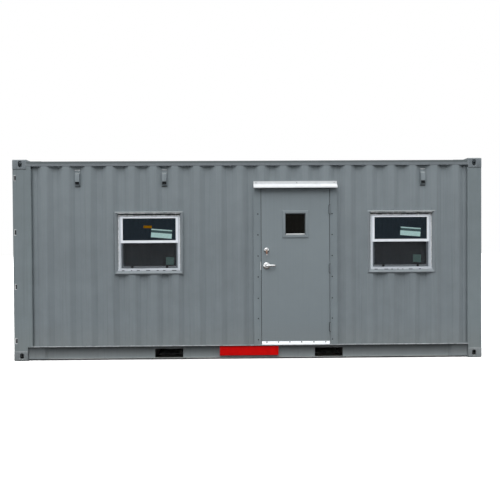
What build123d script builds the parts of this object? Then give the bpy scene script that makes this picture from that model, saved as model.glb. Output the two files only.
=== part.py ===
from build123d import *
from math import atan2, degrees
import os

# Twenty-foot shipping container made over into a site cabin, in millimetres.
# +X runs along the container, -Y is the long side that carries the entry door and windows.
# The cargo doors close the -X end, the corrugated blind wall closes the +X end.
# The origin is the plan centre, on the plane under the bottom corner castings.

os.makedirs("parts", exist_ok=True)

# Overall size of the container
length = 6058
width = 2438
height = 2591

# Corner castings with their twist-lock apertures
casting_l = 178
casting_w = 162
casting_h = 118
casting_base = 28.5
casting_face = 20
casting_inner = 13.5
casting_chamfer = 9
lock_inset_x = 102.5
lock_inset_y = 89.5
lock_slot_l = 124
lock_slot_w = 63.5
side_hole_h = 79.5
side_hole_w = 51
end_hole_h = 89
end_hole_w = 63.5
hole_corner = 0.28

# Frame members
frame_inset = 4
post_t = 6
door_post_w = 231
door_post_edge = 4
post_channel_w = 113
post_channel_d = 39
post_channel_t = 12
post_channel_gap = 2
top_rail = 60
top_rail_t = 3
top_rail_drop = 27
bottom_rail_h = 162
bottom_rail_flange = 48
bottom_rail_lip = 30
bottom_rail_t = 4.5
bottom_rail_z = 17
rail_plate_l = 210
rail_plate_t = 8
end_sill_z = 20
end_sill_h = 150
end_sill_d = 60
end_sill_t = 4

# Corrugated skins
skin = 2
skin_inset = 6
wave_pitch = 279.5
wave_ridge = 72
wave_slope = 68
wave_depth = 36
wave_start = 173
end_wave_pitch = 250
end_wave_ridge = 110
end_wave_slope = 18
end_wave_depth = 45.6
roof_wave_pitch = 209
roof_wave_top = 91
roof_wave_slope = 13.5
roof_wave_h = 18
roof_wave_edge = 136
corner_plate_l = 190
corner_plate_w = 260
corner_plate_t = 3
roof_edge_in = 2
corner_plate_in = 2

# Floor and fork pockets
cross_h = 122
cross_flange = 45
cross_t = 4
cross_pitch = 285
inner_cross_count = 5
pocket_pitch = 2080
pocket_w = 364
pocket_plate = 3
strap_t = 6
strap_d = 230
strap_lap = 40
floor_t = 28
floor_sheets = 5
floor_gap = 3
floor_edge_in = 2

# Cargo doors
leaf_face = 62
leaf_t = 50
leaf_bar = 100
leaf_gap = 16
leaf_edge_gap = 10
leaf_waves = 5
leaf_wave_depth = 36
leaf_wave_slope = 24
gasket_fit = 0.3
gasket_set = 8
sill_top = 165
sill_depth = 75
header_h = 110
end_plate_t = 6
hinge_low = 259
hinge_high_drop = 237
hinge_count = 4
hinge_cutout_w = 26
hinge_cutout_h = 62
hinge_cutout_in = 16
hinge_pin_in = 33
hinge_pin_side = 20
hinge_barrel_r = 14
hinge_fit = 0.5
hinge_blade_l = 190
hinge_blade_t = 10
hinge_neck = 16
lug_l = 46
lug_w = 27
lug_t = 12
rod_r = 17
rod_in = 36
rod_offsets = (250, 900)
rod_fit = 0.4
bracket_waves = (0, 1, 3, 4)
bracket_w = 70
bracket_h = 40
bracket_t = 6
cam_drop = 60
cam_rise = 50
cam_w = 56
cam_h = 26
keeper_d = 36
keeper_t = 10
keeper_h = 56
keeper_fit = 5
handle_l = 430
handle_w = 40
handle_t = 10
handle_hub = 9
handle_sides = 8
handle_offsets = (48, -48)
handle_overhang = 50
catch_w = 50
catch_h = 64

# Ventilators
vent_valleys = (1, 5, 17)
vent_gap = 0.75
vent_z = 2246
vent_h = 212
vent_base_t = 3
vent_hood_w = 58
vent_hood_d = 26
vent_hood_fall = 15
vent_rim = 39
vent_mouth_low = 19
vent_mouth_h = 38
vent_lip = 6

# Windows, centres along the wall
window_centres = (-1285, 1984)
window_w = 880
window_z = 1105
window_h = 812
window_sill_bar = 58
surround_inset = 2
surround_bar = 40
surround_depth = 50
window_inset = 6
surround_nose = 14
surround_slope = 26
surround_slope_sill = 44
sash_frame_w = 28
sash_frame_depth = 64
sash_frame_set = 28
sash_set = 4
sash_t = 16
track_gap = 1
sill_nose = 24
sill_fall = 16
sill_lip = 14
sill_lip_t = 3
window_sill_h = 22
track_bead = 8
track_bead_t = 7
sash_stile = 30
meeting_rail = 34
upper_sash_h = 337
sash_top_rail = 18
lower_sash_rail = 28
glass_t = 6
screen_bar = 28
screen_top_bar = 16
screen_bottom = 20
screen_t = 10
mesh_t = 1.5
mesh_in = 2

# Entry door
door_centre = 607.5
slab_w = 882
slab_h = 2016
slab_t = 45
slab_z = 186
slab_set = 8
slab_gap = 6
jamb_bar = 72
frame_face = 24
frame_return = 30
frame_set = 4
frame_t = 2
frame_depth = 108
stop_w = 16
stop_gap = 5
stop_l = 24
threshold_h = 2
threshold_d = 118
cap_in = 3
cap_h = 91
cap_out = 52
cap_lip = 14
cap_flange = 38
cap_t = 2
cap_clear = 6
lite_z = 1743
lite_w = 334
lite_h = 352
lite_bar = 34
lite_draft = 9
lite_proud = 9
lite_lap = 20
lite_bevel = 5.4
sweep_h = 43
sweep_t = 4
lock_backset = 65
lever_z = 1208
rose_r = 45
rose_t = 12
bolt_z = 1411
bolt_r = 33
bolt_t = 16
lock_sides = 30
lock_taper = 20
spindle_r = 6
spindle_fit = 1
lever_l = 107
lever_h = 24
lever_t = 14
lever_neck = 34
lever_neck_r = 13
lever_gap = 1
butt_heights = (412, 1168, 1932)
butt_h = 114
butt_t = 2.5
butt_leaf = 44
butt_r = 9
butt_pin_out = 6
butt_fit = 0.5
strike_h = 104
strike_w = 9
strike_t = 2

# Levels and planes that follow from the sizes above
end_x = length / 2
side_y = width / 2
casting_x = end_x - casting_l
casting_y = side_y - casting_w
rail_top = bottom_rail_z + bottom_rail_h
top_rail_z = height - top_rail_drop - top_rail
roof_z = height - top_rail_drop
floor_z = bottom_rail_z + cross_h
web_y = side_y - frame_inset - bottom_rail_flange
post_x = -end_x + door_post_edge + door_post_w
ridge_y = side_y - skin_inset
valley_y = ridge_y - wave_depth
inner_y = side_y - frame_inset - post_t
vent_w = wave_pitch - wave_ridge - 2 * wave_slope - 2 * vent_gap
post_return = inner_y - valley_y + skin
wave_count = int((casting_x - post_x - 2 * wave_start + wave_slope) // wave_pitch) + 1
end_wave_count = int(2 * casting_y // end_wave_pitch)
roof_field = 2 * (casting_x - corner_plate_l - roof_wave_pitch / 2)
roof_wave_count = int(roof_field // roof_wave_pitch) + 1
roof_wave_l = 2 * (ridge_y - roof_wave_edge)
outer_cross_count = int((casting_x - cross_flange - (pocket_pitch + pocket_w) / 2) // cross_pitch)
hinge_step = (height - hinge_high_drop - hinge_low) / (hinge_count - 1)
hinge_heights = [hinge_low + hinge_step * i for i in range(hinge_count)]

# Corner castings: hollow blocks pierced under, beside and at the end
with BuildPart() as bottom_corner_castings:
    with Locations((casting_x, casting_y, 0)):
        Box(casting_l, casting_w, casting_h, align=(Align.MIN, Align.MIN, Align.MIN))
    upright_edges = bottom_corner_castings.edges().filter_by(Axis.Z)
    foot_edges = bottom_corner_castings.edges().group_by(Axis.Z)[0]
    outer_edges = [
        upright_edges.sort_by(SortBy.DISTANCE)[-1],
        foot_edges.sort_by(Axis.X)[-1],
        foot_edges.sort_by(Axis.Y)[-1],
    ]
    chamfer(outer_edges, casting_chamfer)
    with Locations((casting_x + casting_inner, casting_y + casting_inner, casting_base)):
        Box(
            casting_l - casting_inner - casting_face,
            casting_w - casting_inner - casting_face,
            casting_h - casting_base - casting_inner,
            align=(Align.MIN, Align.MIN, Align.MIN),
            mode=Mode.SUBTRACT,
        )
    with BuildSketch(Plane.XY):
        with Locations((end_x - lock_inset_x, side_y - lock_inset_y)):
            SlotOverall(lock_slot_l, lock_slot_w)
    extrude(amount=casting_base, mode=Mode.SUBTRACT)
    with BuildSketch(Plane.XZ.offset(-side_y)) as side_hole:
        with Locations((end_x - lock_inset_x, casting_h / 2)):
            Rectangle(side_hole_w, side_hole_h)
        chamfer(side_hole.vertices(), side_hole_w * hole_corner)
    extrude(amount=casting_face, mode=Mode.SUBTRACT)
    with BuildSketch(Plane.YZ.offset(end_x)) as end_hole:
        with Locations((side_y - lock_inset_y, casting_h / 2)):
            Rectangle(end_hole_w, end_hole_h)
        chamfer(end_hole.vertices(), end_hole_w * hole_corner)
    extrude(amount=-casting_face, mode=Mode.SUBTRACT)
    mirror(about=Plane.XZ)
    mirror(about=Plane.YZ)
bottom_corner_castings.part.label = "bottom_corner_castings"
export_step(bottom_corner_castings.part, "parts/bottom_corner_castings.step")

with BuildPart() as top_corner_castings:
    mirror(bottom_corner_castings.part, about=Plane.XY.offset(height / 2))
top_corner_castings.part.label = "top_corner_castings"
export_step(top_corner_castings.part, "parts/top_corner_castings.step")

# Door-end posts: pressed outer wing with hinge cut-outs, inner channel and hinge lugs
channel_x = -end_x + leaf_face + post_channel_gap
with BuildPart() as door_end_posts:
    with BuildSketch(Plane.XZ.offset(inner_y)):
        with BuildLine():
            Polyline(
                (-end_x + door_post_edge, casting_h),
                (-casting_x, casting_h),
                (-casting_x, rail_top),
                (post_x, rail_top),
                (post_x, top_rail_z),
                (-casting_x, top_rail_z),
                (-casting_x, height - casting_h),
                (-end_x + door_post_edge, height - casting_h),
                close=True,
            )
        make_face()
        for hinge_z in hinge_heights:
            with Locations((-end_x + door_post_edge + hinge_cutout_in + hinge_cutout_w / 2, hinge_z)):
                Rectangle(hinge_cutout_w, hinge_cutout_h, mode=Mode.SUBTRACT)
    extrude(amount=post_t)
    with Locations((post_x - post_t, -inner_y, rail_top)):
        Box(
            post_t, post_return, top_rail_z - rail_top, align=(Align.MIN, Align.MIN, Align.MIN)
        )
    with BuildSketch(Plane.XY.offset(casting_h)):
        with BuildLine():
            Polyline(
                (channel_x, -inner_y),
                (channel_x, -inner_y + post_channel_d),
                (channel_x + post_channel_w, -inner_y + post_channel_d),
                (channel_x + post_channel_w, -inner_y),
            )
            offset(amount=post_channel_t, side=Side.RIGHT, kind=Kind.INTERSECTION)
        make_face()
    extrude(amount=height - 2 * casting_h)
    for hinge_z in hinge_heights:
        for lug_z in (hinge_z - hinge_cutout_h / 2 - lug_t, hinge_z + hinge_cutout_h / 2):
            with BuildSketch(Plane.XY.offset(lug_z)):
                with Locations((channel_x, -inner_y)):
                    Rectangle(lug_l, lug_w, align=(Align.MAX, Align.MIN))
            extrude(amount=lug_t)
    mirror(about=Plane.XZ)
door_end_posts.part.label = "door_end_posts"
export_step(door_end_posts.part, "parts/door_end_posts.step")

# Blind-end posts: one pressed section round each corner, returned behind both walls
with BuildPart() as blind_end_posts:
    with BuildSketch(Plane.XY.offset(casting_h)):
        with BuildLine():
            Polyline(
                (casting_x, -inner_y + post_return),
                (casting_x, -side_y + frame_inset),
                (end_x - frame_inset, -side_y + frame_inset),
                (end_x - frame_inset, -casting_y),
                (end_x - frame_inset - end_wave_depth, -casting_y),
            )
            offset(amount=post_t, side=Side.LEFT, kind=Kind.INTERSECTION)
        make_face()
    extrude(amount=height - 2 * casting_h)
    mirror(about=Plane.XZ)
blind_end_posts.part.label = "blind_end_posts"
export_step(blind_end_posts.part, "parts/blind_end_posts.step")

# Top side rails and the blind-end top rail: square tube between the castings
with BuildPart() as top_side_rails:
    with BuildSketch(Plane.YZ.offset(-casting_x)):
        with Locations((-side_y + frame_inset + top_rail / 2, top_rail_z + top_rail / 2)):
            Rectangle(top_rail, top_rail)
            Rectangle(top_rail - 2 * top_rail_t, top_rail - 2 * top_rail_t, mode=Mode.SUBTRACT)
    extrude(amount=2 * casting_x)
    mirror(about=Plane.XZ)
top_side_rails.part.label = "top_side_rails"
export_step(top_side_rails.part, "parts/top_side_rails.step")

with BuildPart() as blind_end_top_rail:
    with BuildSketch(Plane.XZ.offset(-casting_y)):
        with Locations((end_x - frame_inset - top_rail / 2, top_rail_z + top_rail / 2)):
            Rectangle(top_rail, top_rail)
            Rectangle(top_rail - 2 * top_rail_t, top_rail - 2 * top_rail_t, mode=Mode.SUBTRACT)
    extrude(amount=2 * casting_y)
blind_end_top_rail.part.label = "blind_end_top_rail"
export_step(blind_end_top_rail.part, "parts/blind_end_top_rail.step")

# Bottom side rails: pressed channels open outwards, wall on the flange, fork windows in the web,
# boxed in beside each casting by a plate from lip to flange
with BuildPart() as front_bottom_rail:
    with BuildSketch(Plane.YZ.offset(-casting_x)):
        with BuildLine():
            Polyline(
                (-side_y + frame_inset, rail_top),
                (-web_y, rail_top),
                (-web_y, bottom_rail_z),
                (-web_y - bottom_rail_lip, bottom_rail_z),
            )
            offset(amount=bottom_rail_t, side=Side.RIGHT, kind=Kind.INTERSECTION)
        make_face()
    extrude(amount=2 * casting_x)
    with Locations(
        (-pocket_pitch / 2, -web_y, bottom_rail_z + bottom_rail_t),
        (pocket_pitch / 2, -web_y, bottom_rail_z + bottom_rail_t),
    ):
        Box(
            pocket_w,
            4 * bottom_rail_t,
            cross_h - pocket_plate - bottom_rail_t,
            align=(Align.CENTER, Align.CENTER, Align.MIN),
            mode=Mode.SUBTRACT,
        )
    with Locations(
        (-casting_x + rail_plate_l / 2, -web_y - bottom_rail_lip, bottom_rail_z),
        (casting_x - rail_plate_l / 2, -web_y - bottom_rail_lip, bottom_rail_z),
    ):
        Box(
            rail_plate_l,
            rail_plate_t,
            bottom_rail_h - bottom_rail_t,
            align=(Align.CENTER, Align.MIN, Align.MIN),
        )
front_bottom_rail.part.label = "front_bottom_rail"
export_step(front_bottom_rail.part, "parts/front_bottom_rail.step")

with BuildPart() as back_bottom_rail:
    mirror(front_bottom_rail.part, about=Plane.XZ)
back_bottom_rail.part.label = "back_bottom_rail"
export_step(back_bottom_rail.part, "parts/back_bottom_rail.step")

# Blind-end sill: rectangular tube between the bottom castings
with BuildPart() as blind_end_sill:
    with BuildSketch(Plane.XZ.offset(-casting_y)):
        with Locations((end_x - frame_inset - end_sill_d / 2, end_sill_z + end_sill_h / 2)):
            Rectangle(end_sill_d, end_sill_h)
            Rectangle(end_sill_d - 2 * end_sill_t, end_sill_h - 2 * end_sill_t, mode=Mode.SUBTRACT)
    extrude(amount=2 * casting_y)
blind_end_sill.part.label = "blind_end_sill"
export_step(blind_end_sill.part, "parts/blind_end_sill.step")

# Cargo door sill: stepped face plate over the castings, with top and bottom plates
with BuildPart() as cargo_door_sill:
    with BuildSketch(Plane.YZ.offset(-end_x + leaf_face - end_plate_t)):
        with BuildLine():
            Polyline(
                (-casting_y, end_sill_z),
                (casting_y, end_sill_z),
                (casting_y, casting_h),
                (inner_y - post_channel_d, casting_h),
                (inner_y - post_channel_d, sill_top),
                (-inner_y + post_channel_d, sill_top),
                (-inner_y + post_channel_d, casting_h),
                (-casting_y, casting_h),
                close=True,
            )
        make_face()
    extrude(amount=end_plate_t)
    with Locations((-end_x + leaf_face, 0, sill_top)):
        Box(
            sill_depth,
            2 * (inner_y - post_channel_d),
            end_plate_t,
            align=(Align.MIN, Align.CENTER, Align.MAX),
        )
    with Locations((-end_x + leaf_face, 0, end_sill_z)):
        Box(sill_depth, 2 * casting_y, end_plate_t, align=(Align.MIN, Align.CENTER, Align.MIN))
cargo_door_sill.part.label = "cargo_door_sill"
export_step(cargo_door_sill.part, "parts/cargo_door_sill.step")

# Cargo door header: stepped face plate under the castings, with top and bottom plates
header_z = roof_z - header_h
with BuildPart() as cargo_door_header:
    with BuildSketch(Plane.YZ.offset(-end_x + leaf_face - end_plate_t)):
        with BuildLine():
            Polyline(
                (-inner_y + post_channel_d, header_z),
                (inner_y - post_channel_d, header_z),
                (inner_y - post_channel_d, height - casting_h),
                (casting_y, height - casting_h),
                (casting_y, roof_z),
                (-casting_y, roof_z),
                (-casting_y, height - casting_h),
                (-inner_y + post_channel_d, height - casting_h),
                close=True,
            )
        make_face()
    extrude(amount=end_plate_t)
    with Locations((-end_x + leaf_face, 0, roof_z)):
        Box(
            casting_l - leaf_face,
            2 * casting_y,
            end_plate_t,
            align=(Align.MIN, Align.CENTER, Align.MAX),
        )
    with Locations((-end_x + leaf_face, 0, header_z)):
        Box(
            sill_depth,
            2 * (inner_y - post_channel_d),
            end_plate_t,
            align=(Align.MIN, Align.CENTER, Align.MIN),
        )
cargo_door_header.part.label = "cargo_door_header"
export_step(cargo_door_header.part, "parts/cargo_door_header.step")

# Floor cross members: pressed channels, their webs turned to the fork pockets
pocket_near = (pocket_pitch - pocket_w) / 2
pocket_far = (pocket_pitch + pocket_w) / 2
inner_step = 2 * pocket_near / (inner_cross_count + 1)
webs_plus = [-pocket_near + inner_step * i for i in range(inner_cross_count + 1)]
webs_plus += [pocket_far + cross_pitch * i for i in range(outer_cross_count + 1)]
webs_minus = [pocket_near]
webs_minus += [-pocket_far - cross_pitch * i for i in range(outer_cross_count + 1)]
with BuildPart() as cross_members:
    with BuildSketch(Plane.XZ.offset(-web_y)):
        with Locations(*[(x, bottom_rail_z) for x in webs_plus]):
            Rectangle(cross_flange, cross_h, align=(Align.MIN, Align.MIN))
        with Locations(*[(x + cross_t, bottom_rail_z + cross_t) for x in webs_plus]):
            Rectangle(
                cross_flange, cross_h - 2 * cross_t, align=(Align.MIN, Align.MIN), mode=Mode.SUBTRACT
            )
        with Locations(*[(x, bottom_rail_z) for x in webs_minus]):
            Rectangle(cross_flange, cross_h, align=(Align.MAX, Align.MIN))
        with Locations(*[(x - cross_t, bottom_rail_z + cross_t) for x in webs_minus]):
            Rectangle(
                cross_flange, cross_h - 2 * cross_t, align=(Align.MAX, Align.MIN), mode=Mode.SUBTRACT
            )
    extrude(amount=2 * web_y)
cross_members.part.label = "cross_members"
export_step(cross_members.part, "parts/cross_members.step")

# Fork pocket plates: a roof over each pocket and a strap under each mouth
with BuildPart() as fork_pocket_plates:
    with Locations((-pocket_pitch / 2, 0, floor_z), (pocket_pitch / 2, 0, floor_z)):
        Box(
            pocket_w, 2 * web_y, pocket_plate, align=(Align.CENTER, Align.CENTER, Align.MAX)
        )
    for strap_y in (-web_y - bottom_rail_lip, web_y + bottom_rail_lip - strap_d):
        with Locations(
            (-pocket_pitch / 2, strap_y, bottom_rail_z), (pocket_pitch / 2, strap_y, bottom_rail_z)
        ):
            Box(
                pocket_w + 2 * strap_lap,
                strap_d,
                strap_t,
                align=(Align.CENTER, Align.MIN, Align.MAX),
            )
fork_pocket_plates.part.label = "fork_pocket_plates"
export_step(fork_pocket_plates.part, "parts/fork_pocket_plates.step")

# Plywood floor sheets laid across the cross members
floor_from = -end_x + leaf_face + sill_depth + floor_edge_in
floor_to = end_x - frame_inset - end_sill_d - floor_edge_in
sheet_l = (floor_to - floor_from - (floor_sheets - 1) * floor_gap) / floor_sheets
with BuildPart() as floor_boards:
    for sheet in range(floor_sheets):
        with Locations((floor_from + sheet * (sheet_l + floor_gap), 0, floor_z)):
            Box(sheet_l, 2 * (web_y - floor_edge_in), floor_t, align=(Align.MIN, Align.CENTER, Align.MIN))
floor_boards.part.label = "floor_boards"
export_step(floor_boards.part, "parts/floor_boards.step")

# Roof: one welded sheet stamped with cross ribs, notched round the castings
rib_taper = degrees(atan2(roof_wave_slope, roof_wave_h))
with BuildPart() as roof_rib:
    with BuildSketch(Plane.XY.offset(roof_z + skin)):
        Rectangle(roof_wave_top + 2 * roof_wave_slope, roof_wave_l)
    extrude(amount=roof_wave_h, taper=rib_taper)
with BuildPart() as roof_panel:
    with BuildSketch(Plane.XY.offset(roof_z)):
        with Locations((0, 0)):
            Rectangle(2 * casting_x, 2 * (ridge_y - roof_edge_in))
        with Locations((end_x - frame_inset, 0)):
            Rectangle(2 * casting_x, 2 * casting_y, align=(Align.MAX, Align.CENTER))
        with Locations((-end_x + leaf_face, 0)):
            Rectangle(casting_l, 2 * casting_y, align=(Align.MIN, Align.CENTER))
    extrude(amount=skin)
    with GridLocations(roof_wave_pitch, 0, roof_wave_count, 1):
        add(roof_rib.part)
    with GridLocations(roof_wave_pitch, 0, roof_wave_count, 1):
        add(roof_rib.part.moved(Location((0, 0, -skin))), mode=Mode.SUBTRACT)
roof_panel.part.label = "roof_panel"
export_step(roof_panel.part, "parts/roof_panel.step")

# Reinforcing plates on the roof beside each top casting
with BuildPart() as roof_corner_plates:
    with Locations((casting_x - corner_plate_in, ridge_y - roof_edge_in - corner_plate_in, roof_z + skin)):
        Box(
            corner_plate_l, corner_plate_w, corner_plate_t, align=(Align.MAX, Align.MAX, Align.MIN)
        )
    mirror(about=Plane.XZ)
    mirror(about=Plane.YZ)
roof_corner_plates.part.label = "roof_corner_plates"
export_step(roof_corner_plates.part, "parts/roof_corner_plates.step")

# Corrugated side sheet: ridges level with the rails, valleys set inwards
wave_points = [(post_x, -valley_y)]
for wave in range(wave_count):
    ridge_x = post_x + wave_start + wave * wave_pitch
    wave_points += [
        (ridge_x - wave_ridge / 2 - wave_slope, -valley_y),
        (ridge_x - wave_ridge / 2, -ridge_y),
        (ridge_x + wave_ridge / 2, -ridge_y),
        (ridge_x + wave_ridge / 2 + wave_slope, -valley_y),
    ]
wave_points.append((casting_x, -valley_y))
with BuildPart() as side_sheet:
    with BuildSketch(Plane.XY.offset(rail_top)):
        with BuildLine():
            Polyline(*wave_points)
            offset(amount=skin, side=Side.LEFT, kind=Kind.INTERSECTION)
        make_face()
    extrude(amount=top_rail_z - rail_top)

with BuildPart() as back_wall:
    mirror(side_sheet.part, about=Plane.XZ)
back_wall.part.label = "back_wall"
export_step(back_wall.part, "parts/back_wall.step")

# Front sheet, cut for the door surround and the two windows
slab_top = slab_z + slab_h
opening_w = slab_w + 2 * slab_gap
opening_top = slab_top + slab_gap
jamb_out = opening_w / 2 + frame_face + jamb_bar
surround_top = opening_top + frame_face + jamb_bar
left_edge = door_centre - jamb_out
right_edge = door_centre + jamb_out
with BuildPart() as front_wall_left:
    add(side_sheet.part)
    with Locations((left_edge, -side_y, rail_top)):
        Box(length, width, height, align=(Align.MIN, Align.CENTER, Align.MIN), mode=Mode.SUBTRACT)
    with Locations((window_centres[0], -side_y, window_z)):
        Box(window_w, width, window_h, align=(Align.CENTER, Align.CENTER, Align.MIN), mode=Mode.SUBTRACT)
front_wall_left.part.label = "front_wall_left"
export_step(front_wall_left.part, "parts/front_wall_left.step")

with BuildPart() as front_wall_right:
    add(side_sheet.part)
    with Locations((right_edge, -side_y, rail_top)):
        Box(length, width, height, align=(Align.MAX, Align.CENTER, Align.MIN), mode=Mode.SUBTRACT)
    with Locations((window_centres[1], -side_y, window_z)):
        Box(window_w, width, window_h, align=(Align.CENTER, Align.CENTER, Align.MIN), mode=Mode.SUBTRACT)
front_wall_right.part.label = "front_wall_right"
export_step(front_wall_right.part, "parts/front_wall_right.step")

with BuildPart() as front_wall_over_door:
    add(side_sheet.part)
    with Locations((left_edge, -side_y, rail_top)):
        Box(length, width, height, align=(Align.MAX, Align.CENTER, Align.MIN), mode=Mode.SUBTRACT)
    with Locations((right_edge, -side_y, rail_top)):
        Box(length, width, height, align=(Align.MIN, Align.CENTER, Align.MIN), mode=Mode.SUBTRACT)
    with Locations((door_centre, -side_y, surround_top)):
        Box(length, width, height, align=(Align.CENTER, Align.CENTER, Align.MAX), mode=Mode.SUBTRACT)
front_wall_over_door.part.label = "front_wall_over_door"
export_step(front_wall_over_door.part, "parts/front_wall_over_door.step")

# Blind-end wall: steeper and deeper corrugation between the posts
end_ridge_x = end_x - skin_inset
end_valley_x = end_ridge_x - end_wave_depth
end_points = [(end_valley_x, -casting_y)]
for wave in range(end_wave_count):
    ridge_mid = (wave - (end_wave_count - 1) / 2) * end_wave_pitch
    end_points += [
        (end_valley_x, ridge_mid - end_wave_ridge / 2 - end_wave_slope),
        (end_ridge_x, ridge_mid - end_wave_ridge / 2),
        (end_ridge_x, ridge_mid + end_wave_ridge / 2),
        (end_valley_x, ridge_mid + end_wave_ridge / 2 + end_wave_slope),
    ]
end_points.append((end_valley_x, casting_y))
with BuildPart() as blind_end_wall:
    with BuildSketch(Plane.XY.offset(end_sill_z + end_sill_h)):
        with BuildLine():
            Polyline(*end_points)
            offset(amount=skin, side=Side.LEFT, kind=Kind.INTERSECTION)
        make_face()
    extrude(amount=top_rail_z - end_sill_z - end_sill_h)
blind_end_wall.part.label = "blind_end_wall"
export_step(blind_end_wall.part, "parts/blind_end_wall.step")

# Ventilators: a flanged plate in a valley, a box hood open at the foot of its face, a lip below
hood_top = vent_z + vent_h - vent_rim
hood_low = vent_z + vent_mouth_low
plate_y = -valley_y - vent_base_t
with BuildPart() as vents:
    for valley in vent_valleys:
        vent_x = post_x + wave_start + (valley + 0.5) * wave_pitch
        with Locations((vent_x, -valley_y, vent_z)):
            Box(vent_w, vent_base_t, vent_h, align=(Align.CENTER, Align.MAX, Align.MIN))
        with BuildSketch(Plane.YZ.offset(vent_x - vent_hood_w / 2)):
            with BuildLine():
                Polyline(
                    (plate_y, hood_top),
                    (plate_y - vent_hood_d, hood_top - vent_hood_fall),
                    (plate_y - vent_hood_d, hood_low),
                    (plate_y, hood_low),
                    close=True,
                )
            make_face()
        extrude(amount=vent_hood_w)
        with BuildSketch(Plane.YZ.offset(vent_x - vent_hood_w / 2 + skin)):
            with BuildLine():
                Polyline(
                    (plate_y, hood_top - 2 * skin),
                    (plate_y - vent_hood_d + skin, hood_top - vent_hood_fall - skin),
                    (plate_y - vent_hood_d + skin, hood_low + vent_mouth_h),
                    (plate_y - vent_hood_d, hood_low + vent_mouth_h),
                    (plate_y - vent_hood_d, hood_low + skin),
                    (plate_y, hood_low + skin),
                    close=True,
                )
            make_face()
        extrude(amount=vent_hood_w - 2 * skin, mode=Mode.SUBTRACT)
        with Locations((vent_x, plate_y, vent_z)):
            Box(vent_w, vent_lip, vent_lip, align=(Align.CENTER, Align.MAX, Align.MIN))
    mirror(about=Plane.XZ)
vents.part.label = "vents"
export_step(vents.part, "parts/vents.step")

# Cargo door leaves: tube frame round a sheet with horizontal corrugations
leaf_in = leaf_gap / 2
leaf_out = inner_y - post_channel_d - leaf_edge_gap
leaf_z = sill_top + leaf_edge_gap
leaf_top = header_z - leaf_edge_gap
panel_z = leaf_z + leaf_bar
panel_h = leaf_top - leaf_bar - panel_z
leaf_pitch = panel_h / leaf_waves
leaf_ridge_x = -end_x + leaf_face + skin
leaf_valley_x = leaf_ridge_x + leaf_wave_depth
leaf_points = [(leaf_valley_x, panel_z)]
for wave in range(leaf_waves):
    ridge_mid = panel_z + (wave + 0.5) * leaf_pitch
    leaf_points += [
        (leaf_valley_x, ridge_mid - leaf_pitch / 4 - leaf_wave_slope / 2),
        (leaf_ridge_x, ridge_mid - leaf_pitch / 4 + leaf_wave_slope / 2),
        (leaf_ridge_x, ridge_mid + leaf_pitch / 4 - leaf_wave_slope / 2),
        (leaf_valley_x, ridge_mid + leaf_pitch / 4 + leaf_wave_slope / 2),
    ]
leaf_points.append((leaf_valley_x, panel_z + panel_h))
with BuildPart() as cargo_door_right:
    with BuildSketch(Plane.YZ.offset(-end_x + leaf_face)):
        with Locations((leaf_in, leaf_z)):
            Rectangle(leaf_out - leaf_in, leaf_top - leaf_z, align=(Align.MIN, Align.MIN))
        with Locations((leaf_in + leaf_bar, panel_z)):
            Rectangle(
                leaf_out - leaf_in - 2 * leaf_bar,
                panel_h,
                align=(Align.MIN, Align.MIN),
                mode=Mode.SUBTRACT,
            )
    extrude(amount=leaf_t)
    with BuildSketch(Plane.XZ.offset(-(leaf_out - leaf_bar))):
        with BuildLine():
            Polyline(*leaf_points)
            offset(amount=skin, side=Side.LEFT, kind=Kind.INTERSECTION)
        make_face()
    extrude(amount=leaf_out - leaf_in - 2 * leaf_bar)
cargo_door_right.part.label = "cargo_door_right"
export_step(cargo_door_right.part, "parts/cargo_door_right.step")

with BuildPart() as cargo_door_left:
    mirror(cargo_door_right.part, about=Plane.XZ)
cargo_door_left.part.label = "cargo_door_left"
export_step(cargo_door_left.part, "parts/cargo_door_left.step")

# Door gasket: one rubber frame that fills the joint round and between the leaves
with BuildPart() as cargo_door_gasket:
    with BuildSketch(Plane.YZ.offset(-end_x + leaf_face + gasket_set)):
        with Locations((0, (sill_top + header_z) / 2)):
            Rectangle(
                2 * (leaf_out + leaf_edge_gap - gasket_fit), header_z - sill_top - 2 * gasket_fit
            )
            with GridLocations(leaf_in + leaf_out, 0, 2, 1):
                Rectangle(
                    leaf_out - leaf_in + 2 * gasket_fit,
                    leaf_top - leaf_z + 2 * gasket_fit,
                    mode=Mode.SUBTRACT,
                )
    extrude(amount=leaf_t - 2 * gasket_set)
cargo_door_gasket.part.label = "cargo_door_gasket"
export_step(cargo_door_gasket.part, "parts/cargo_door_gasket.step")

# Cargo door hinges: barrel between the post lugs, necked to a blade lying on the leaf
with BuildPart() as cargo_door_hinges:
    for hinge_z in hinge_heights:
        with BuildSketch(Plane.XY.offset(hinge_z - hinge_cutout_h / 2 + hinge_fit)):
            with Locations((-end_x + hinge_pin_in, -side_y + hinge_pin_side)):
                Circle(hinge_barrel_r)
                Rectangle(leaf_face - hinge_pin_in, hinge_neck, align=(Align.MIN, Align.CENTER))
            with Locations((-end_x + leaf_face, -side_y + hinge_pin_side)):
                Rectangle(hinge_blade_t, hinge_blade_l, align=(Align.MAX, Align.MIN))
        extrude(amount=hinge_cutout_h - 2 * hinge_fit)
    mirror(about=Plane.XZ)
cargo_door_hinges.part.label = "cargo_door_hinges"
export_step(cargo_door_hinges.part, "parts/cargo_door_hinges.step")

# Lock rods with a cam at each end
rod_x = -end_x + rod_in
cam_low = sill_top - cam_drop
cam_high = header_z + cam_rise
with BuildPart() as lock_rods:
    for rod_y in rod_offsets:
        with Locations((rod_x, -rod_y, (cam_low + cam_high) / 2)):
            Cylinder(rod_r, cam_high - cam_low + cam_h)
        with Locations((rod_x, -rod_y, cam_low), (rod_x, -rod_y, cam_high)):
            Box(2 * rod_r, cam_w, cam_h)
    mirror(about=Plane.XZ)
lock_rods.part.label = "lock_rods"
export_step(lock_rods.part, "parts/lock_rods.step")

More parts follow.
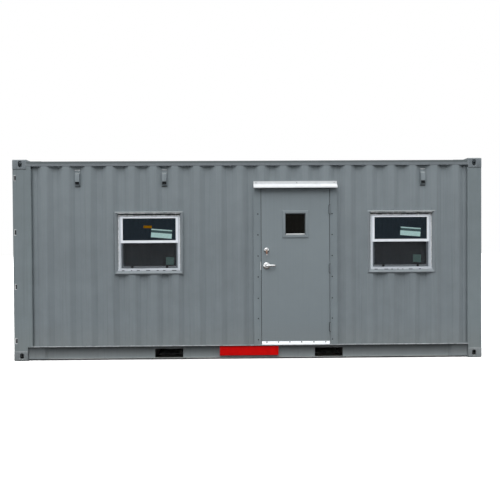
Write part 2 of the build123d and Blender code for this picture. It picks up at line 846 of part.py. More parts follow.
# Cam keepers: hooked blocks on the sill and header faces
keeper_x = -end_x + leaf_face - end_plate_t
with BuildPart() as cam_keepers:
    for rod_y in rod_offsets:
        for cam_z in (cam_low, cam_high):
            for step in (-1, 1):
                keeper_y = -rod_y + step * (cam_w / 2 + keeper_fit)
                with Locations((keeper_x, keeper_y, cam_z)):
                    Box(
                        keeper_d,
                        keeper_t,
                        keeper_h,
                        align=(Align.MAX, Align.MIN if step > 0 else Align.MAX, Align.CENTER),
                    )
    mirror(about=Plane.XZ)
cam_keepers.part.label = "cam_keepers"
export_step(cam_keepers.part, "parts/cam_keepers.step")

# Lock rod brackets: straps with two feet, bolted on the leaf faces over each rod
strap_in = rod_r + rod_fit
strap_out = strap_in + bracket_t
with BuildPart() as lock_rod_brackets:
    for rod_y in rod_offsets:
        for wave in bracket_waves:
            bracket_z = panel_z + (wave + 0.5) * leaf_pitch
            with BuildSketch(Plane.XY.offset(bracket_z - bracket_h / 2)):
                with Locations((-end_x + leaf_face, -rod_y)):
                    Rectangle(bracket_t, bracket_w, align=(Align.MAX, Align.CENTER))
                    Rectangle(
                        leaf_face - rod_in + strap_out, 2 * strap_out, align=(Align.MAX, Align.CENTER)
                    )
                    Rectangle(
                        leaf_face - rod_in + strap_in,
                        2 * strap_in,
                        align=(Align.MAX, Align.CENTER),
                        mode=Mode.SUBTRACT,
                    )
            extrude(amount=bracket_h)
    mirror(about=Plane.XZ)
lock_rod_brackets.part.label = "lock_rod_brackets"
export_step(lock_rod_brackets.part, "parts/lock_rod_brackets.step")

handle_levels = [panel_z + leaf_waves / 2 * leaf_pitch + rise for rise in handle_offsets]

# Lock handles: hub round the rod and a flat bar lying across the leaf
hub_turn = 180 / handle_sides
with BuildPart() as lock_handles:
    for rod_y, handle_z in zip(rod_offsets, handle_levels):
        outer_rod = rod_y > leaf_out / 2
        with BuildSketch(Plane.XY.offset(handle_z - handle_w / 2)):
            with Locations((rod_x, -rod_y)):
                RegularPolygon(rod_r + handle_hub, handle_sides, major_radius=False, rotation=hub_turn)
            with Locations((rod_x - rod_r - handle_hub + handle_t, -rod_y)):
                Rectangle(handle_t, handle_l, align=(Align.MAX, Align.MIN if outer_rod else Align.MAX))
            with Locations((rod_x, -rod_y)):
                RegularPolygon(
                    rod_r + rod_fit,
                    handle_sides,
                    major_radius=False,
                    rotation=hub_turn,
                    mode=Mode.SUBTRACT,
                )
        extrude(amount=handle_w)
    mirror(about=Plane.XZ)
lock_handles.part.label = "lock_handles"
export_step(lock_handles.part, "parts/lock_handles.step")

# Handle catches: posts on the leaf that hold the bar's free end
with BuildPart() as handle_catches:
    for rod_y, handle_z in zip(rod_offsets, handle_levels):
        reach = handle_l - handle_overhang if rod_y > leaf_out / 2 else handle_overhang - handle_l
        with Locations((-end_x + leaf_face, -rod_y + reach, handle_z)):
            Box(
                leaf_face - rod_in + rod_r + handle_hub - handle_t - gasket_fit,
                catch_w,
                catch_h,
                align=(Align.MAX, Align.CENTER, Align.CENTER),
            )
    mirror(about=Plane.XZ)
handle_catches.part.label = "handle_catches"
export_step(handle_catches.part, "parts/handle_catches.step")

# Window surrounds: mitred steel mouldings, bevelled out to a nose and in to the sash frame
window_face = side_y - window_inset
frame_z = window_z + window_sill_bar
frame_w = window_w - 2 * surround_bar
frame_h = window_h - window_sill_bar - surround_bar
with BuildPart() as window_surrounds:
    for centre in window_centres:
        with BuildSketch(Plane.XZ.offset(window_face)):
            with Locations((centre, window_z + window_h / 2)):
                Rectangle(window_w, window_h)
        extrude(amount=-surround_depth)
        with BuildSketch(Plane.XZ.offset(window_face)):
            with Locations((centre, window_z + window_h / 2)):
                Rectangle(window_w, window_h)
        extrude(amount=surround_nose, taper=45)
        with BuildSketch(Plane.XZ.offset(window_face)):
            with Locations((centre, frame_z + frame_h / 2)):
                Rectangle(frame_w, frame_h)
        extrude(amount=-surround_depth, mode=Mode.SUBTRACT)
        with BuildSketch(Plane.XZ.offset(window_face + surround_nose)):
            with Locations((centre, frame_z - surround_slope_sill)):
                Rectangle(
                    frame_w + 2 * surround_slope,
                    frame_h + surround_slope + surround_slope_sill,
                    align=(Align.CENTER, Align.MIN),
                )
        with BuildSketch(Plane.XZ.offset(window_face + surround_nose - surround_slope)):
            with Locations((centre, frame_z)):
                Rectangle(frame_w, frame_h, align=(Align.CENTER, Align.MIN))
        loft(ruled=True, mode=Mode.SUBTRACT)
window_surrounds.part.label = "window_surrounds"
export_step(window_surrounds.part, "parts/window_surrounds.step")

# Window frames: aluminium box frame, its sill falling to a lip over the steel, screen beads
sash_y = -window_face + sash_frame_set
head_z = frame_z + frame_h - sash_frame_w
upper_z = head_z - upper_sash_h
lower_z = frame_z + window_sill_h
upper_y = sash_y + sash_set
screen_y = upper_y + sash_t + track_gap
lower_y = screen_y + screen_t + track_gap
with BuildPart() as window_frames:
    for centre in window_centres:
        with BuildSketch(Plane.XZ.offset(-sash_y)):
            with Locations((centre, frame_z)):
                Rectangle(frame_w, frame_h, align=(Align.CENTER, Align.MIN))
            with Locations((centre, lower_z)):
                Rectangle(
                    frame_w - 2 * sash_frame_w,
                    head_z - lower_z,
                    align=(Align.CENTER, Align.MIN),
                    mode=Mode.SUBTRACT,
                )
        extrude(amount=-sash_frame_depth)
        with BuildSketch(Plane.XZ.offset(-screen_y + gasket_fit)):
            with Locations((centre, lower_z)):
                Rectangle(
                    frame_w - 2 * sash_frame_w, upper_z - lower_z, align=(Align.CENTER, Align.MIN)
                )
                Rectangle(
                    frame_w - 2 * sash_frame_w - 2 * track_bead,
                    upper_z - lower_z,
                    align=(Align.CENTER, Align.MIN),
                    mode=Mode.SUBTRACT,
                )
        extrude(amount=track_bead_t)
        with BuildSketch(Plane.YZ.offset(centre - frame_w / 2)):
            with BuildLine():
                Polyline(
                    (sash_y, lower_z),
                    (sash_y, frame_z),
                    (sash_y - sill_nose + sill_lip_t, frame_z),
                    (sash_y - sill_nose + sill_lip_t, lower_z - sill_fall - sill_lip),
                    (sash_y - sill_nose, lower_z - sill_fall - sill_lip),
                    (sash_y - sill_nose, lower_z - sill_fall),
                    close=True,
                )
            make_face()
        extrude(amount=frame_w)
window_frames.part.label = "window_frames"
export_step(window_frames.part, "parts/window_frames.step")

# Sashes: the upper one outside, the lower one behind the screen, meeting rails level
sash_w = frame_w - 2 * sash_frame_w
lower_top = upper_z + meeting_rail
with BuildPart() as window_sashes:
    for centre in window_centres:
        with BuildSketch(Plane.XZ.offset(-upper_y)):
            with Locations((centre, upper_z)):
                Rectangle(sash_w, upper_sash_h, align=(Align.CENTER, Align.MIN))
            with Locations((centre, upper_z + meeting_rail)):
                Rectangle(
                    sash_w - 2 * sash_stile,
                    upper_sash_h - meeting_rail - sash_top_rail,
                    align=(Align.CENTER, Align.MIN),
                    mode=Mode.SUBTRACT,
                )
        extrude(amount=-sash_t)
        with BuildSketch(Plane.XZ.offset(-lower_y)):
            with Locations((centre, lower_z)):
                Rectangle(sash_w, lower_top - lower_z, align=(Align.CENTER, Align.MIN))
            with Locations((centre, lower_z + lower_sash_rail)):
                Rectangle(
                    sash_w - 2 * sash_stile,
                    lower_top - lower_z - lower_sash_rail - meeting_rail,
                    align=(Align.CENTER, Align.MIN),
                    mode=Mode.SUBTRACT,
                )
        extrude(amount=-sash_t)
window_sashes.part.label = "window_sashes"
export_step(window_sashes.part, "parts/window_sashes.step")

# Window glass: one pane in each sash, on its middle plane
with BuildPart() as window_glass:
    for centre in window_centres:
        with Locations((centre, upper_y + sash_t / 2, upper_z + meeting_rail)):
            Box(
                sash_w - 2 * sash_stile,
                glass_t,
                upper_sash_h - meeting_rail - sash_top_rail,
                align=(Align.CENTER, Align.CENTER, Align.MIN),
            )
        with Locations((centre, lower_y + sash_t / 2, lower_z + lower_sash_rail)):
            Box(
                sash_w - 2 * sash_stile,
                glass_t,
                lower_top - lower_z - lower_sash_rail - meeting_rail,
                align=(Align.CENTER, Align.CENTER, Align.MIN),
            )
window_glass.part.label = "window_glass"
export_step(window_glass.part, "parts/window_glass.step")

# Insect screens: between the two sashes, their top bar tucked up behind the meeting rail
screen_w = sash_w - 2 * gasket_fit
screen_top = upper_z + screen_top_bar
with BuildPart() as window_screens:
    for centre in window_centres:
        with BuildSketch(Plane.XZ.offset(-screen_y)):
            with Locations((centre, lower_z)):
                Rectangle(screen_w, screen_top - lower_z, align=(Align.CENTER, Align.MIN))
            with Locations((centre, lower_z + screen_bottom)):
                Rectangle(
                    screen_w - 2 * screen_bar,
                    screen_top - lower_z - screen_bottom - screen_top_bar,
                    align=(Align.CENTER, Align.MIN),
                    mode=Mode.SUBTRACT,
                )
        extrude(amount=-screen_t)
        with Locations((centre, screen_y + screen_t - mesh_in, lower_z + screen_bottom)):
            Box(
                screen_w - 2 * screen_bar,
                mesh_t,
                screen_top - lower_z - screen_bottom - screen_top_bar,
                align=(Align.CENTER, Align.MAX, Align.MIN),
            )
window_screens.part.label = "window_screens"
export_step(window_screens.part, "parts/window_screens.step")

# Door surround: steel posts and lintel round the entry door frame
surround_face = side_y - surround_inset
with BuildPart() as door_surround:
    with BuildSketch(Plane.XZ.offset(surround_face)):
        with Locations((door_centre, rail_top)):
            Rectangle(2 * jamb_out, surround_top - rail_top, align=(Align.CENTER, Align.MIN))
            Rectangle(
                2 * (jamb_out - jamb_bar),
                surround_top - jamb_bar - rail_top,
                align=(Align.CENTER, Align.MIN),
                mode=Mode.SUBTRACT,
            )
    extrude(amount=-surround_depth)
door_surround.part.label = "door_surround"
export_step(door_surround.part, "parts/door_surround.step")

# Entry door frame: folded steel section with a stop, two jambs and a head
frame_y = -side_y + frame_set
stop_y = -side_y + slab_set + slab_t + stop_gap
with BuildPart() as entry_door_frame:
    for hand in (-1, 1):
        edge = door_centre + hand * opening_w / 2
        with BuildSketch(Plane.XY.offset(rail_top)):
            with BuildLine():
                Polyline(
                    (edge + hand * frame_face, frame_y + frame_return),
                    (edge + hand * frame_face, frame_y),
                    (edge, frame_y),
                    (edge, stop_y),
                    (edge - hand * stop_w, stop_y),
                    (edge - hand * stop_w, stop_y + stop_l),
                    (edge, stop_y + stop_l),
                    (edge, frame_y + frame_depth),
                    (edge + hand * frame_face, frame_y + frame_depth),
                )
                offset(
                    amount=frame_t, side=Side.RIGHT if hand > 0 else Side.LEFT, kind=Kind.INTERSECTION
                )
            make_face()
        extrude(amount=opening_top + frame_face - rail_top)
    with BuildSketch(Plane.YZ.offset(door_centre - opening_w / 2)):
        with BuildLine():
            Polyline(
                (frame_y + frame_return, opening_top + frame_face),
                (frame_y, opening_top + frame_face),
                (frame_y, opening_top),
                (stop_y, opening_top),
                (stop_y, opening_top - stop_w),
                (stop_y + stop_l, opening_top - stop_w),
                (stop_y + stop_l, opening_top),
                (frame_y + frame_depth, opening_top),
                (frame_y + frame_depth, opening_top + frame_face),
            )
            offset(amount=frame_t, side=Side.LEFT, kind=Kind.INTERSECTION)
        make_face()
    extrude(amount=opening_w)
entry_door_frame.part.label = "entry_door_frame"
export_step(entry_door_frame.part, "parts/entry_door_frame.step")

# Threshold plate on the bottom rail between the jambs
with BuildPart() as door_threshold:
    with Locations((door_centre, frame_y, rail_top)):
        Box(
            opening_w - 2 * stop_w - 2 * stop_gap,
            threshold_d,
            threshold_h,
            align=(Align.CENTER, Align.MIN, Align.MIN),
        )
door_threshold.part.label = "door_threshold"
export_step(door_threshold.part, "parts/door_threshold.step")

# Drip cap: bent sheet over the door head with a sloped top and a front lip
cap_z = slab_top + cap_clear
with BuildPart() as drip_cap:
    with BuildSketch(Plane.YZ.offset(door_centre - jamb_out + cap_in)):
        with BuildLine():
            Polyline(
                (-surround_face, cap_z + cap_h),
                (-surround_face, cap_z + cap_h - cap_flange),
                (-surround_face - cap_out + cap_t, cap_z + cap_lip),
                (-surround_face - cap_out + cap_t, cap_z),
            )
            offset(amount=cap_t, side=Side.RIGHT, kind=Kind.INTERSECTION)
        make_face()
    extrude(amount=2 * (jamb_out - cap_in))
drip_cap.part.label = "drip_cap"
export_step(drip_cap.part, "parts/drip_cap.step")

# Strike plate on the latch jamb, with its lip over the frame face
lever_x = door_centre - slab_w / 2 + lock_backset
with BuildPart() as strike_plate:
    with Locations((door_centre - opening_w / 2, frame_y, lever_z)):
        Box(strike_w, strike_t, strike_h, align=(Align.MAX, Align.MAX, Align.CENTER))
strike_plate.part.label = "strike_plate"
export_step(strike_plate.part, "parts/strike_plate.step")

# Entry door hinges: two knuckles on the jamb leaf, one on the slab leaf, outside the joint
pin_x = door_centre + slab_w / 2 + slab_gap / 2
pin_y = -side_y - butt_pin_out
knuckle = butt_h / 3
with BuildPart() as door_hinges_frame:
    for butt_z in butt_heights:
        low = butt_z - butt_h / 2
        with Locations((pin_x + slab_gap / 2, pin_y, low)):
            Box(butt_t, butt_leaf, butt_h, align=(Align.MAX, Align.MIN, Align.MIN))
        with Locations((pin_x, pin_y, butt_z)):
            Box(
                2 * butt_r + 2 * butt_fit,
                2 * butt_r + 2 * butt_fit,
                knuckle + 2 * butt_fit,
                mode=Mode.SUBTRACT,
            )
        with Locations((pin_x, pin_y, low), (pin_x, pin_y, low + 2 * knuckle)):
            Cylinder(butt_r, knuckle, align=(Align.CENTER, Align.CENTER, Align.MIN))
door_hinges_frame.part.label = "door_hinges_frame"
export_step(door_hinges_frame.part, "parts/door_hinges_frame.step")

with BuildPart() as door_hinges_leaf:
    for butt_z in butt_heights:
        low = butt_z - butt_h / 2
        with Locations((pin_x - slab_gap / 2, pin_y, low)):
            Box(butt_t, butt_leaf, butt_h, align=(Align.MIN, Align.MIN, Align.MIN))
        with Locations((pin_x, pin_y, low), (pin_x, pin_y, low + 2 * knuckle)):
            Box(
                2 * butt_r + 2 * butt_fit,
                2 * butt_r + 2 * butt_fit,
                knuckle + butt_fit,
                align=(Align.CENTER, Align.CENTER, Align.MIN),
                mode=Mode.SUBTRACT,
            )
        with Locations((pin_x, pin_y, butt_z)):
            Cylinder(butt_r, knuckle - 2 * butt_fit)
door_hinges_leaf.part.label = "door_hinges_leaf"
export_step(door_hinges_leaf.part, "parts/door_hinges_leaf.step")

# Door slab, cut for the glazed lite and bored for the spindle
slab_y = -side_y + slab_set
lite_in_w = lite_w - 2 * (lite_bar + lite_draft)
lite_in_h = lite_h - 2 * (lite_bar + lite_draft)
with BuildPart() as door_slab:
    with Locations((door_centre, slab_y, slab_z)):
        Box(slab_w, slab_t, slab_h, align=(Align.CENTER, Align.MIN, Align.MIN))
    with Locations((door_centre, slab_y, lite_z)):
        Box(
            lite_w - 2 * lite_lap,
            3 * slab_t,
            lite_h - 2 * lite_lap,
            mode=Mode.SUBTRACT,
        )
    with BuildSketch(Plane.XZ.offset(side_y)):
        with Locations((lever_x, lever_z)):
            Circle(spindle_r + spindle_fit)
    extrude(amount=-slab_set - slab_t, mode=Mode.SUBTRACT)
door_slab.part.label = "door_slab"
export_step(door_slab.part, "parts/door_slab.step")

# Lite frame: moulded rings clamped on both faces, lining the cut-out, drafted in to the glass
with BuildPart() as door_lite_frame:
    with BuildSketch(Plane.XZ.offset(-slab_y)):
        with Locations((door_centre, lite_z)):
            Rectangle(lite_w, lite_h)
    extrude(amount=lite_proud)
    with BuildSketch(Plane.XZ.offset(-slab_y - slab_t)):
        with Locations((door_centre, lite_z)):
            Rectangle(lite_w, lite_h)
    extrude(amount=-lite_proud)
    rims = door_lite_frame.faces().sort_by(Axis.Y)
    chamfer(rims[0].edges() + rims[-1].edges(), lite_bevel)
    with Locations((door_centre, slab_y, lite_z)):
        Box(
            lite_w - 2 * lite_lap,
            slab_t,
            lite_h - 2 * lite_lap,
            align=(Align.CENTER, Align.MIN, Align.CENTER),
        )
    with Locations((door_centre, slab_y + slab_t / 2, lite_z)):
        Box(lite_in_w, 3 * slab_t, lite_in_h, mode=Mode.SUBTRACT)
    for face_y in (slab_y - lite_proud, slab_y + slab_t + lite_proud):
        with BuildSketch(Plane.XZ.offset(-face_y)):
            with Locations((door_centre, lite_z)):
                Rectangle(lite_in_w + 2 * lite_draft, lite_in_h + 2 * lite_draft)
        with BuildSketch(Plane.XZ.offset(-slab_y - slab_t / 2)):
            with Locations((door_centre, lite_z)):
                Rectangle(lite_in_w, lite_in_h)
        loft(ruled=True, mode=Mode.SUBTRACT)
door_lite_frame.part.label = "door_lite_frame"
export_step(door_lite_frame.part, "parts/door_lite_frame.step")

with BuildPart() as door_glass:
    with Locations((door_centre, slab_y + slab_t / 2, lite_z)):
        Box(lite_in_w, glass_t, lite_in_h)
door_glass.part.label = "door_glass"
export_step(door_glass.part, "parts/door_glass.step")

# Sweep: aluminium strip along the foot of the slab
with BuildPart() as door_sweep:
    with Locations((door_centre, slab_y, slab_z)):
        Box(slab_w, sweep_t, sweep_h, align=(Align.CENTER, Align.MAX, Align.MIN))
door_sweep.part.label = "door_sweep"
export_step(door_sweep.part, "parts/door_sweep.step")

# Locks: faceted lever roses and deadbolt cylinders on both faces
with BuildPart() as door_locks:
    for face in (Plane.XZ.offset(-slab_y), Plane.ZX.offset(slab_y + slab_t)):
        for lock_z, lock_r, lock_t in ((lever_z, rose_r, rose_t), (bolt_z, bolt_r, bolt_t)):
            with BuildSketch(face):
                with Locations(face.to_local_coords(Vector(lever_x, 0, lock_z))):
                    RegularPolygon(lock_r, lock_sides)
            extrude(amount=lock_t, taper=lock_taper)
    with BuildSketch(Plane.XZ.offset(side_y + slab_t)):
        with Locations((lever_x, lever_z)):
            Circle(spindle_r + spindle_fit)
    extrude(amount=-4 * slab_t, mode=Mode.SUBTRACT)
door_locks.part.label = "door_locks"
export_step(door_locks.part, "parts/door_locks.step")

# Levers: one spindle through the slab with a necked lever on each side
lever_out = slab_y - rose_t - lever_gap
lever_in = slab_y + slab_t + rose_t + lever_gap
with BuildPart() as door_levers:
    with BuildSketch(Plane.XZ.offset(-lever_out)):
        with Locations((lever_x, lever_z)):
            Circle(lever_neck_r)
    extrude(amount=lever_neck)
    with BuildSketch(Plane.XZ.offset(-lever_in)):
        with Locations((lever_x, lever_z)):
            Circle(lever_neck_r)
    extrude(amount=-lever_neck)
    with BuildSketch(Plane.XZ.offset(-lever_in)):
        with Locations((lever_x, lever_z)):
            Circle(spindle_r)
    extrude(amount=lever_in - lever_out)
    for grip in (lever_out - lever_neck, lever_in + lever_neck - lever_t):
        with BuildSketch(Plane.XZ.offset(-grip)):
            with Locations((lever_x, lever_z)):
                SlotOverall(
                    lever_l + lever_h / 2, lever_h, align=(Align.MIN, Align.CENTER)
                )
        extrude(amount=-lever_t)
door_levers.part.label = "door_levers"
export_step(door_levers.part, "parts/door_levers.step")
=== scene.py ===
import math
import random

import bmesh
import bpy
from mathutils import Matrix, Vector


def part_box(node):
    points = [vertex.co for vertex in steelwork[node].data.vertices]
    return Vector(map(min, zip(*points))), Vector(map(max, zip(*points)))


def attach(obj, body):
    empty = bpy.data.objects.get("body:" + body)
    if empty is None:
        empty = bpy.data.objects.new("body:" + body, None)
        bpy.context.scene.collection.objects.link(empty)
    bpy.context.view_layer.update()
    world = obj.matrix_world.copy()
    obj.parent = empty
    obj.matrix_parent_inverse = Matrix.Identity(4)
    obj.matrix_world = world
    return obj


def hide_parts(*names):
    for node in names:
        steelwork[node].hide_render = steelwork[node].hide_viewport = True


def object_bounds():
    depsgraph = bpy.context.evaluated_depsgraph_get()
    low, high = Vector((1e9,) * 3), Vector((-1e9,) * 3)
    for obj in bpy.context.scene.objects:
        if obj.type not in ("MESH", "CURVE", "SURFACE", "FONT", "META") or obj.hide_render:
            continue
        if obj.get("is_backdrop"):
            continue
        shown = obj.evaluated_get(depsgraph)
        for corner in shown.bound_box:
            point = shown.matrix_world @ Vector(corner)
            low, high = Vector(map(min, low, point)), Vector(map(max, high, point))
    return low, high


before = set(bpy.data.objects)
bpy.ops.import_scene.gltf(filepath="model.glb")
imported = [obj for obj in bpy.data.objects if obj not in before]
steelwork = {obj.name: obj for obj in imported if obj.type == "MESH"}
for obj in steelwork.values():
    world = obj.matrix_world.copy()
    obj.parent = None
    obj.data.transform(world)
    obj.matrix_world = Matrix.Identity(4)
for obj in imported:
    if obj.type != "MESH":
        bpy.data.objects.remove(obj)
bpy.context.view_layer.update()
scene = bpy.context.scene
scene.view_settings.view_transform = "Standard"


# Corner castings: eight hollow blocks of cast steel, welded to the ends of the posts and rails.
# They come rough from the sand mould and wear the same grey topcoat as the whole container,
# so the paint shows sand pimples over rounded edges.
def hex_colour(code, lift=1.0):
    """An sRGB hex colour as linear light, made paler or darker by lift."""
    channels = [int(code[i : i + 2], 16) / 255 for i in (1, 3, 5)]
    linear = [c / 12.92 if c <= 0.04045 else ((c + 0.055) / 1.055) ** 2.4 for c in channels]
    return (*(c * lift for c in linear), 1.0)


def add(tree, kind, settings=None, stops=()):
    """Adds a node. A setting that is itself a node or a socket is linked, and any other is set.
    The stops of a colour ramp are each a place, a hex colour and perhaps a lift."""
    made = tree.nodes.new("ShaderNode" + kind)
    for name, value in (settings or {}).items():
        if isinstance(value, bpy.types.Node):
            value = value.outputs[0]
        if isinstance(value, bpy.types.NodeSocket):
            tree.links.new(value, made.inputs[name])
        elif isinstance(name, str) and hasattr(made, name):
            setattr(made, name, value)
        else:
            made.inputs[name].default_value = value
    for number, (where, *colour) in enumerate(stops):
        made.color_ramp.elements[number].position = where
        made.color_ramp.elements[number].color = hex_colour(*colour)
    return made


def new_finish(name):
    finish = bpy.data.materials.new(name)
    finish.use_nodes = True
    finish.node_tree.nodes.clear()
    return finish, finish.node_tree


def grey_topcoat(
    name, body, grain_mm=9, grain_rise_mm=0.12, dent_mm=0.0, streaks=0.35, gloss=0.42, cloud_depth=0.055
):
    """Alkyd topcoat over primed steel, sprayed: eggshell grey, with clouds where the coat is
    thicker, faint rain streaks, and dust that clings to the lowest half metre."""
    finish, tree = new_finish(name)
    place = add(tree, "TexCoord").outputs["Object"]
    # Clouds from the spray gun are 100 to 300 mm across.
    cloud = add(tree, "TexNoise", {"Scale": 1 / 0.22, "Detail": 5, "Roughness": 0.55, "Vector": place})
    shades = ((0.32, body, 1 - cloud_depth), (0.7, body, 1 + cloud_depth))
    tone = add(tree, "ValToRGB", {"Fac": cloud}, stops=shades)
    # Rain streaks are 25 mm wide and run for over a metre, so the noise is squeezed crosswise.
    run = add(tree, "Mapping", {"Scale": (1 / 0.025, 1 / 0.025, 1 / 1.3), "Vector": place})
    streak = add(tree, "TexNoise", {"Scale": 1.0, "Detail": 3, "Vector": run})
    streak = add(tree, "MapRange", {"From Min": 0.52, "From Max": 0.8, "To Max": streaks, "Value": streak})
    washed = add(tree, "Mix", {"data_type": "RGBA", 0: streak, 6: tone, 7: hex_colour("#5d666b")})
    height = add(tree, "SeparateXYZ", {"Vector": place}).outputs["Z"]
    low = add(tree, "MapRange", {"From Min": 0.5, "From Max": 0.05, "To Max": 0.35, "Value": height})
    # Dust clots 5 to 30 mm across.
    speck = add(tree, "TexNoise", {"Scale": 1 / 0.03, "Detail": 6, "Roughness": 0.7, "Vector": place})
    dust = add(tree, "Math", {"operation": "MULTIPLY", 0: low, 1: speck})
    dusted = add(tree, "Mix", {"data_type": "RGBA", 0: dust, 6: washed.outputs[2], 7: hex_colour("#8d8a80")})
    # Ledges hold a film of pale dust that the rain never clears.
    facing = add(tree, "SeparateXYZ", {"Vector": add(tree, "NewGeometry").outputs["Normal"]}).outputs["Z"]
    ledge = add(tree, "MapRange", {"From Min": 0.5, "From Max": 0.95, "To Max": 0.8, "Value": facing})
    film = add(tree, "Math", {"operation": "MULTIPLY", 0: ledge, 1: speck})
    dusted = add(tree, "Mix", {"data_type": "RGBA", 0: film, 6: dusted.outputs[2], 7: hex_colour("#a3a39c")})
    span = {"From Min": 0.3, "From Max": 0.7, "To Min": gloss - 0.05, "To Max": gloss + 0.1}
    rough = add(tree, "MapRange", {**span, "Value": cloud})
    grain = add(tree, "TexNoise", {"Scale": 1000 / grain_mm, "Detail": 2, "Vector": place})
    skin = add(tree, "Bump", {"Distance": grain_rise_mm / 1000, "Height": grain})
    if dent_mm:
        # Dents and weld shrinkage pull thin sheet about over half a metre.
        dent = add(tree, "TexNoise", {"Scale": 1 / 0.45, "Detail": 1, "Vector": place})
        skin = add(tree, "Bump", {"Distance": dent_mm / 1000, "Height": dent, "Normal": skin})
    # Weather has chalked the coat, so that it mirrors half of what fresh alkyd does.
    chalk = {"IOR": 1.5, "Specular IOR Level": 0.25}
    look = {"Base Color": dusted.outputs[2], "Roughness": rough, "Normal": skin}
    add(tree, "OutputMaterial", {"Surface": add(tree, "BsdfPrincipled", {**chalk, **look})})
    return finish


def coat(node, finish, edge_mm=0.0):
    """Gives a CAD node its finish, and the small round that folded, cast or sawn edges have."""
    piece = steelwork[node]
    while piece.data.materials:
        piece.data.materials.pop()
    piece.data.materials.append(finish)
    if edge_mm:
        round_edges(piece, edge_mm)


def round_edges(piece, edge_mm):
    """Rolled and cast edges are rounded, while the flats beside them stay dead flat."""
    for face in piece.data.polygons:
        face.use_smooth = True
    weld = piece.modifiers.new("weld", "WELD")
    weld.merge_threshold = 0.00002
    flat = piece.modifiers.new("flat", "DECIMATE")
    flat.decimate_type = "DISSOLVE"
    flat.angle_limit = math.radians(0.5)
    edge = piece.modifiers.new("edge", "BEVEL")
    edge.width = edge_mm / 1000
    edge.segments = 2
    edge.limit_method = "ANGLE"
    edge.angle_limit = math.radians(30)
    crisp = piece.modifiers.new("crisp", "EDGE_SPLIT")
    crisp.split_angle = math.radians(19)


cast_paint = grey_topcoat("grey_topcoat_on_cast_steel", "#788085", grain_mm=5, grain_rise_mm=0.5)
for node in ("bottom_corner_castings", "top_corner_castings"):
    coat(node, cast_paint, edge_mm=4)


# Top rails: 60 mm square tube, seam welded to the roof sheet above and the walls below.
# The upper half of the face is coloured darker and greener than the lower one.
def stain(finish, colour, axis, clear, full, most=1.0, until=None, facing=False):
    """Lets a second colour gather along one axis of the object, from clear to full, in metres,
    and stop short at until. With facing, it gathers by the way the surface faces instead."""
    tree = finish.node_tree
    surface = next(node for node in tree.nodes if node.type == "BSDF_PRINCIPLED")
    was = surface.inputs["Base Color"].links[0].from_socket
    place = add(tree, "NewGeometry").outputs["Normal"] if facing else add(tree, "TexCoord").outputs["Object"]
    along = add(tree, "SeparateXYZ", {"Vector": place}).outputs[axis]
    gather = add(tree, "MapRange", {"From Min": clear, "From Max": full, "To Max": most, "Value": along})
    if until is not None:
        short = add(tree, "Math", {"operation": "LESS_THAN", 0: along, 1: until})
        gather = add(tree, "Math", {"operation": "MULTIPLY", 0: gather, 1: short})
    stained = add(tree, "Mix", {"data_type": "RGBA", 0: gather, 6: was, 7: hex_colour(colour)})
    tree.links.new(stained.outputs[2], surface.inputs["Base Color"])


rail_paint = grey_topcoat("grey_topcoat_on_top_rails", "#787f84", dent_mm=1.5)
stain(rail_paint, "#4f5959", "Z", 2.533, 2.540, most=0.6)
for node in ("top_side_rails", "blind_end_top_rail"):
    coat(node, rail_paint, edge_mm=1.5)

# Frame: pressed posts, folded rails, sills and headers of 3 to 6 mm weathering steel, welded
# to the castings and to each other. The paint lies smooth on the rolled plate.
frame_paint = grey_topcoat("grey_topcoat_on_rolled_steel", "#798387", dent_mm=1.5)
for node in ("door_end_posts", "blind_end_posts", "blind_end_sill", "cargo_door_sill", "cargo_door_header"):
    coat(node, frame_paint, edge_mm=1.5)

# Bottom rails: C sections of 4.5 mm plate whose top flange oversails the web by 43 mm.
# The web close under the flange is coloured near black, fading downwards: painted shade under the flange.
foot_paint = grey_topcoat("grey_topcoat_with_painted_shade_on_bottom_rails", "#7f888d", dent_mm=1.5)
stain(foot_paint, "#15191b", "Z", 0.030, 0.168, most=0.80, until=0.1742)
for node in ("front_bottom_rail", "back_bottom_rail"):
    coat(node, foot_paint, edge_mm=1.5)


# Welds: each casting is joined to its post and rails by a fillet run all round, laid by hand.
# The beads are ripply half rounds, 7 mm wide, coloured paler than the topcoat as a painted highlight.
def finish_piece(name, bm, body, slot, *finishes):
    mesh = bpy.data.meshes.new(name)
    bmesh.ops.recalc_face_normals(bm, faces=bm.faces[:])
    bm.to_mesh(mesh)
    bm.free()
    piece = bpy.data.objects.new(name, mesh)
    scene.collection.objects.link(piece)
    for finish in finishes:
        mesh.materials.append(finish)
    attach(piece, body)
    return piece


def lay_bead(bm, start, end, across, out, width):
    """One run of weld from start to end: a flattened half round whose height ripples."""
    start, end, across, out = Vector(start), Vector(end), Vector(across), Vector(out)
    steps = max(2, round((end - start).length / (width * 0.55)))
    half, rise = width / 2, width * 0.38
    angles = [math.pi * i / 5 for i in range(6)]
    rows = []
    for step in range(steps + 1):
        swell = 0.8 if step % 2 else 1.0
        if step in (0, steps):
            swell = 0.35
        middle = start.lerp(end, step / steps)
        spots = [middle + across * (half * math.cos(a)) + out * (rise * swell * math.sin(a)) for a in angles]
        rows.append([bm.verts.new(spot) for spot in spots])
    for here, there in zip(rows, rows[1:]):
        for i in range(5):
            bm.faces.new((here[i], here[i + 1], there[i + 1], there[i])).smooth = True
    bm.faces.new(rows[0])
    bm.faces.new(rows[-1])


def level(ends, y, z):
    """Both ends of a level line that runs along the container."""
    return [(x, y, z) for x in ends]


